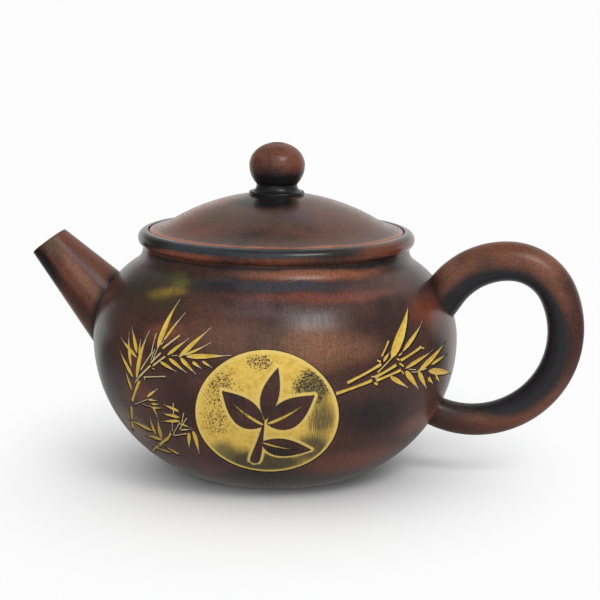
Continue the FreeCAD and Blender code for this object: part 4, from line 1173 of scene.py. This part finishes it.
# %% Relief
class Relief:
    """Points and faces of a flat piece with levels, and the kind of every face."""

    def __init__(self):
        self.points = []
        self.faces = []
        self.kinds = []
        self.known = {}

    def point(self, key, place, level):
        """Number of the point with this key, which is added when it is new."""
        if key not in self.known:
            self.known[key] = len(self.points)
            self.points.append((place.x, place.y, level))
        return self.known[key]

    def face(self, corners, kind):
        """Add a face, unless points that coincide leave nothing of it."""
        if len(set(corners)) > 2:
            self.faces.append(corners)
            self.kinds.append(kind)


def gilded(owners, panel):
    """True where gold lies on the panel with this outline number: in a vein, or round the sprig."""
    sprig_ids = range(panel + 1, panel + 1 + len(sprig_lines))
    vein_ids = range(sprig_ids.stop, sprig_ids.stop + len(vein_lines))
    in_vein = any(owner in vein_ids for owner in owners)
    on_sprig = any(owner in sprig_ids for owner in owners)
    return panel in owners and (in_vein or not on_sprig)


print("outlines on the panel:", 1 + len(sprig_lines) + len(vein_lines))

# %% Carve the wall
OUTSIDE, CARVED, INSIDE, JOINT = range(4)
cut_outlines = [line for line, _ in cut_lines]
cut_keels = [keel for _, keel in cut_lines]
outlines = cut_outlines + [panel_rim] + sprig_lines + vein_lines + [hole_outside]
stroke_ids = set(range(len(cut_outlines)))
panel_id = len(cut_outlines)
hole_id = len(outlines) - 1
wall = Relief()
spots, triangles, holders = triangulate(outlines, cut_keels, wall_grid(RUN_OUTSIDE))
floor_of = {}
for corners, owners in zip(triangles, holders):
    if hole_id in owners:
        continue
    if gilded(owners, panel_id):
        for corner in corners:
            floor_of[corner] = PANEL_DEPTH
    elif owners & stroke_ids:
        for corner in corners:
            if corner not in floor_of:
                floor_of[corner] = stroke_depth(spots[corner])


def outer_point(corner):
    """The point on the outside of the wall at a corner of the slab."""
    return wall.point(("out", corner), spots[corner], 0.0)


def floor_point(corner):
    """The point on the floor of a cut at a corner of the slab."""
    return wall.point(("floor", corner), spots[corner], -floor_of[corner])


carved = []
for corners, owners in zip(triangles, holders):
    if hole_id in owners:
        continue
    if gilded(owners, panel_id) or owners & stroke_ids:
        wall.face([floor_point(corner) for corner in corners], CARVED)
        carved.append(corners)
    else:
        wall.face([outer_point(corner) for corner in corners], OUTSIDE)
for a, b in open_edges(carved):
    wall.face([outer_point(a), outer_point(b), floor_point(b), floor_point(a)], CARVED)
print("carved slab:", len(wall.points), "points,", len(wall.faces), "faces")

# %% [markdown]
# The inside of the wall and the joints
#
# The inside lies one wall thickness behind the outside along the same section, so it is the same
# slab at a lower level. Narrow faces close the slab at the base, at the shoulder and in the hole.

# %% Close the slab
ON_BORDER = 1e-4
INNER_HOLE_ID = 0

backs, triangles, holders = triangulate([hole_inside], [], wall_grid(RUN_INSIDE))


def inner_point(corner):
    """The point on the inside of the wall at a corner of the inner slab."""
    return wall.point(("in", corner), backs[corner], -WALL_THICKNESS)


for corners, owners in zip(triangles, holders):
    if INNER_HOLE_ID not in owners:
        wall.face([inner_point(corner) for corner in reversed(corners)], INSIDE)


def border(places, run):
    """Indices of the points along one run, in order round the pot."""
    level = [index for index, place in enumerate(places) if abs(place.y - run) < ON_BORDER]
    return sorted(level, key=lambda index: places[index].x)


def close_joint(outer, inner):
    """Faces between an outer and an inner line of points of the same number."""
    for (a, b), (c, d) in zip(zip(outer, outer[1:]), zip(inner, inner[1:])):
        wall.face([outer_point(a), inner_point(c), inner_point(d), outer_point(b)], JOINT)


def nearest(places, line):
    """Indices of the triangulated points that stand for an outline."""
    finder = lookup(places)
    return [finder.find(place.to_3d())[1] for place in line]


close_joint(border(spots, RUN_OUTSIDE), border(backs, RUN_INSIDE))
close_joint(border(spots, RUN_TOP)[::-1], border(backs, RUN_TOP)[::-1])
rim_out = nearest(spots, hole_outside)
rim_in = nearest(backs, hole_inside)
close_joint(rim_out + rim_out[:1], rim_in + rim_in[:1])
print("wall slab:", len(wall.points), "points,", len(wall.faces), "faces")

# %% Wind the wall and give it true normals
CUT_SHADE_BLACK = "#15100f"


def wall_normal(point):
    """Direction square to the wall surface at a point in metres."""
    place = Vector(point) / MM
    across = math.hypot(place.x, place.y)
    _, aside, rise = from_arc(place)
    return Vector((place.x * aside / across, place.y * aside / across, rise)).normalized()


def true_normals(mesh, signs):
    """Give the faces of some kinds the exact normals of the pot, and leave the others flat."""
    kinds = [item.value for item in mesh.attributes["kind"].data]
    at_point = [wall_normal(vertex.co) for vertex in mesh.vertices]
    normals = [None] * len(mesh.loops)
    for face in mesh.polygons:
        face.use_smooth = True
        sign = signs.get(kinds[face.index])
        for loop in face.loop_indices:
            if sign is None:
                normals[loop] = face.normal.copy()
            else:
                normals[loop] = at_point[mesh.loops[loop].vertex_index] * sign
    mesh.normals_split_custom_set(normals)


def relief_piece(name, relief):
    """A flat mesh object from a relief, with the kind of each face kept as an attribute."""
    piece = new_piece(name, relief.points, relief.faces)
    piece.data.attributes.new("kind", "INT", "FACE").data.foreach_set("value", relief.kinds)
    return piece


pot_carved = relief_piece("carved_pot_wall", wall)
wind(pot_carved, pot_clay)
# Clay laid bare by the knife: dull, and painted nearly black as the shade inside the cuts, so it draws a
# dark line round the gold.
cut_clay = burnished_clay("cut_clay", CUT_SHADE_BLACK, [], "along", gloss=(0.6, 0.75))
pot_carved.data.materials.append(cut_clay)
pot_carved.data.materials.append(raw_clay)
SLOT_OF_KIND = {OUTSIDE: 0, CARVED: 1, INSIDE: 2, JOINT: 2}
for face, item in zip(pot_carved.data.polygons, pot_carved.data.attributes["kind"].data):
    face.material_index = SLOT_OF_KIND[item.value]
true_normals(pot_carved.data, {OUTSIDE: 1.0, INSIDE: -1.0})
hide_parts("pot_wall")
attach(pot_carved, "pot")
print("carved wall:", len(pot_carved.data.polygons), "faces")

# %% [markdown]
# The gold
#
# The ornament is filled with gold pigment in lacquer. It is paint rather than leaf, so it is only
# partly metallic and shows no mirror. On the panel the brush left dark specks on the left, and a
# thin haze with dry streaks on the right and below, where the clay looks through. Soft zones in the
# panel's own plane say where, and noise stretched along the brush makes the streaks.

# %% Gold paint
GOLD = "#f0ca5e"
GOLD_DEEP = "#cba13e"
GOLD_BRIGHT = "#f6d77c"
GOLD_THIN = "#514c37"
GOLD_PALE = "#e8daaf"
WORN = "#332d20"
GOLD_METAL = 0.3
# Flakes of pigment are some hundredths of a millimetre. They are drawn coarser, so that they show.
FLAKE_NOISE = cloudy(0.3, 2.0, 0.6)
BRUSH_NOISE = cloudy(1.6, 5.0, 0.7)
# Lowest and highest noise, and the share of a tint or the roughness for them.
DEEP_CLOUDS = (0.42, 0.7, 0.0, 0.7)
PALE_SHARE = (0.0, 1.0, 0.0, 0.75)
FLAKE_ROUGH = (0.3, 0.7, 0.4, 0.55)
GOLD_BUMP = 0.4


def gold_paint(name, wear=None, dull=()):
    """Gold pigment brushed on in lacquer: a warm cloudy glow with soft, broken highlights."""
    paint = bpy.data.materials.new(name)
    paint.use_nodes = True
    tree = paint.node_tree
    shader = tree.nodes["Principled BSDF"]
    place = node(tree, "ShaderNodeTexCoord", out="Object")
    cloud = node(tree, NOISE, {"Vector": place, **BRUSH_NOISE})
    flakes = node(tree, NOISE, {"Vector": place, **FLAKE_NOISE})
    deep = node(tree, RANGE, (cloud, *DEEP_CLOUDS), **EASED)
    shade = node(tree, MIX, {0: deep, 6: colour(GOLD), 7: colour(GOLD_DEEP)}, **TINT)
    pale = node(tree, "ShaderNodeAttribute", out="Fac", attribute_name="pale")
    pale = node(tree, RANGE, (pale, *PALE_SHARE), **EASED)
    shade = node(tree, MIX, {0: pale, 6: shade, 7: colour(GOLD_PALE)}, **TINT)
    shade = patched(tree, place, shade, dull)
    if wear:
        worn, thin, fresh = wear(tree, place)
        for share, hex_code in ((thin, GOLD_THIN), (fresh, GOLD_BRIGHT), (worn, WORN)):
            shade = node(tree, MIX, {0: share, 6: shade, 7: colour(hex_code)}, **TINT)
        metal = node(tree, RANGE, (worn, 0.0, 1.0, GOLD_METAL, 0.0), **EASED)
        tree.links.new(metal, shader.inputs["Metallic"])
    else:
        shader.inputs["Metallic"].default_value = GOLD_METAL
    rough = node(tree, RANGE, (flakes, *FLAKE_ROUGH), **EASED)
    bump = node(tree, "ShaderNodeBump", {"Height": cloud, "Strength": GOLD_BUMP, "Distance": BUMP_HIGH})
    tree.links.new(shade, shader.inputs["Base Color"])
    tree.links.new(rough, shader.inputs["Roughness"])
    tree.links.new(bump, shader.inputs["Normal"])
    return paint


# Painted shade: the gold of the left spray is dulled at its lower left, where less light falls.
bamboo_paint = gold_paint("gold_in_bamboo", dull=[
    (on_wall(-48.0, 16.0), (26.0, 26.0, 20.0), 0.3, 0.55, "#8a7745"),
])
print("gold paint:", len(bamboo_paint.node_tree.nodes), "nodes")

# %% Worn places on the panel
# Place and half size across and up the panel in mm, and how far the gold is gone.
SPECKLED = [
    ((-1.5, 15.0), (5.5, 2.8), 0.85), ((-11.0, 7.5), (6.5, 8.0), 0.8), ((-12.5, -1.5), (5.5, 6.5), 0.65),
    ((-6.5, 3.0), (4.0, 7.0), 0.5), ((11.0, 8.5), (6.5, 7.0), 1.35),
]
STREAKED = [
    ((13.0, 6.5), (5.0, 7.0), 0.6), ((13.0, -1.0), (5.5, 5.5), 1.0), ((11.0, -9.0), (6.5, 6.5), 1.1),
    ((-1.0, -13.5), (14.5, 5.2), 1.2),
]
HAZED = [
    ((11.5, 8.0), (6.0, 6.5), 0.7), ((14.0, 0.0), (4.5, 7.0), 0.75), ((11.0, -9.0), (7.0, 6.5), 0.9),
    ((-1.0, -13.6), (15.0, 6.4), 1.2), ((-10.5, -10.5), (5.0, 4.5), 0.8),
]
ZONE_CORE = 0.3
# Brush hairs leave streaks of about a tenth of a millimetre. They are drawn twice as wide to show.
STREAK_NOISE = cloudy(0.2, 4.0, 0.75)
SPECK_NOISE = cloudy(0.45, 4.0, 0.65)
STREAK_STRETCH = 0.05
SPECK_MOST = 1.0
STREAK_MOST = 0.7
HAZE_MOST = 0.92
# How much a full zone adds to the noise, and the sum at which gold begins to go and is gone.
ZONE_LIFT = 0.2
GONE_FROM, GONE_AT = 0.6, 0.74
# Distance from the gold's edge in mm: where wear begins and is full, and where the thick edge ends.
WEAR_INSIDE = (0.4, 1.2, 0.0, 1.0)
FRESH_EDGE = (1.3, 0.3, 0.0, 0.8)
panel_frame = Matrix((panel_right, panel_up, panel_out)).transposed().to_euler()


def worn_panel(tree, place):
    """Where the panel's gold is worn away, where it is thin, and where it stands thick along the edges."""
    plane = node(tree, "ShaderNodeMapping", {
        "Vector": place, "Location": panel_centre * MM, "Rotation": panel_frame,
    }, vector_type="TEXTURE")
    stretched = node(tree, VECTOR, (plane, (1.0, STREAK_STRETCH, 0.0)), operation="MULTIPLY")
    specks = node(tree, NOISE, {"Vector": plane, **SPECK_NOISE})
    streaks = node(tree, NOISE, {"Vector": stretched, **STREAK_NOISE})
    inner = node(tree, "ShaderNodeAttribute", out="Fac", attribute_name="open")
    open_field = node(tree, RANGE, (inner, *WEAR_INSIDE), **EASED)

    def zone(places):
        """One in the middle of some places on the panel, fading to nothing at their ends."""
        rows = [
            ((*centre, 0.0), (*half, ALL_ROUND), ZONE_CORE, share, "#ffffff")
            for centre, half, share in places
        ]
        inside = patched(tree, plane, colour("#000000"), rows)
        return node(tree, MATH, (inside, open_field), operation="MULTIPLY")

    bare = []
    for places, pattern, most in (
        (SPECKLED, specks, SPECK_MOST),
        (STREAKED, streaks, STREAK_MOST),
    ):
        reached = node(tree, MATH, (zone(places), ZONE_LIFT, pattern), operation="MULTIPLY_ADD")
        bare.append(node(tree, RANGE, (reached, GONE_FROM, GONE_AT, 0.0, most), **EASED))
    worn = node(tree, MATH, bare, operation="MAXIMUM")
    thin = node(tree, MATH, (zone(HAZED), HAZE_MOST), operation="MULTIPLY")
    return worn, thin, node(tree, RANGE, (inner, *FRESH_EDGE), **EASED)


panel_paint = gold_paint("gold_on_panel", worn_panel)
print("worn gold:", len(panel_paint.node_tree.nodes), "nodes")

# %% [markdown]
# Gold in the cuts
#
# Gold pigment is brushed into each cut and wiped, so it lies a little below the surface and
# leaves a line of clay along the edges, painted dark as the shade in the cut. The fills are the same
# strokes drawn narrower.
# Slender strokes and tips are painted paler.

# %% Gold fills
TOP, UNDER, SIDE = range(3)
STROKE_FILL = 0.12
PALE_WIDTH_LEFT = 0.3
PALE_WIDTH_RIGHT = 0.24


def fill_piece(name, places, triangles, floor_depth, thickness, finish, label, measure):
    """A thin solid of gold that lies on the floor of a cut, with a measured attribute for its paint."""
    relief = Relief()
    depths = {}

    def top_point(corner):
        """The point on the gold above a corner."""
        return relief.point(("top", corner), places[corner], thickness - depths[corner])

    def under_point(corner):
        """The point under the gold at a corner, on the floor of the cut."""
        return relief.point(("under", corner), places[corner], -depths[corner])

    for corners in triangles:
        for corner in corners:
            if corner not in depths:
                depths[corner] = floor_depth(places[corner])
        relief.face([top_point(corner) for corner in corners], TOP)
        relief.face([under_point(corner) for corner in reversed(corners)], UNDER)
    for a, b in open_edges(triangles):
        relief.face([under_point(a), under_point(b), top_point(b), top_point(a)], SIDE)
    piece = relief_piece(name, relief)
    values = [measure(Vector(point).xy) for point in relief.points]
    piece.data.attributes.new(label, "FLOAT", "POINT").data.foreach_set("value", values)
    wind(piece, finish)
    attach(piece, "pot")
    return piece


def pale_by(place):
    """One on a thin stroke or near a pointed tip, where the gold is painted paler."""
    pale_width = PALE_WIDTH_LEFT if place.x < 0.0 else PALE_WIDTH_RIGHT
    broad = any(half > pale_width for _, half, _ in in_strokes(place, GOLD_OFFSET_FOR_SHADOW))
    return 0.0 if broad else 1.0


gold_outlines = [line for line, _ in gold_lines]
gold_keels = [keel for _, keel in gold_lines]
flecks, triangles, holders = triangulate(gold_outlines, gold_keels, [])
inside_strokes = [corners for corners, owners in zip(triangles, holders) if owners]
bamboo_gold = fill_piece(
    "bamboo_gold", flecks, inside_strokes, stroke_depth, STROKE_FILL, bamboo_paint, "pale", pale_by,
)
for face in bamboo_gold.data.polygons:
    face.use_smooth = False
print("bamboo gold:", len(bamboo_gold.data.polygons), "faces")

# %% Gold of the round panel
FIELD_STEP = 0.55
GOLD_RIM_ID = 0

low = Vector((min(p.x for p in panel_rim), min(p.y for p in panel_rim)))
high = Vector((max(p.x for p in panel_rim), max(p.y for p in panel_rim)))
field = []
for row in range(int((high.y - low.y) / FIELD_STEP)):
    for column in range(int((high.x - low.x) / FIELD_STEP)):
        place = Vector((low.x + column * FIELD_STEP, low.y + row * FIELD_STEP))
        field.append((place, False))
grains, triangles, holders = triangulate([gold_rim] + sprig_lines + vein_lines, [], field)
inside_panel = [corners for corners, owners in zip(triangles, holders) if gilded(owners, GOLD_RIM_ID)]
edge_finder = lookup([place for line in [gold_rim] + sprig_lines for place in line])


def panel_floor(place):
    """Depth of the panel, the same all over."""
    return PANEL_DEPTH


def open_by(place):
    """Distance in mm from a place on the slab to the nearest edge of the panel's gold."""
    return edge_finder.find(place.to_3d())[2]


panel_gold = fill_piece(
    "panel_gold", grains, inside_panel, panel_floor, PANEL_FILL, panel_paint, "open", open_by,
)
true_normals(panel_gold.data, {TOP: 1.0, UNDER: -1.0})
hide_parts("medallion_fill")
print("panel gold:", len(panel_gold.data.polygons), "faces")
bpy.data.objects.remove(wall_section)
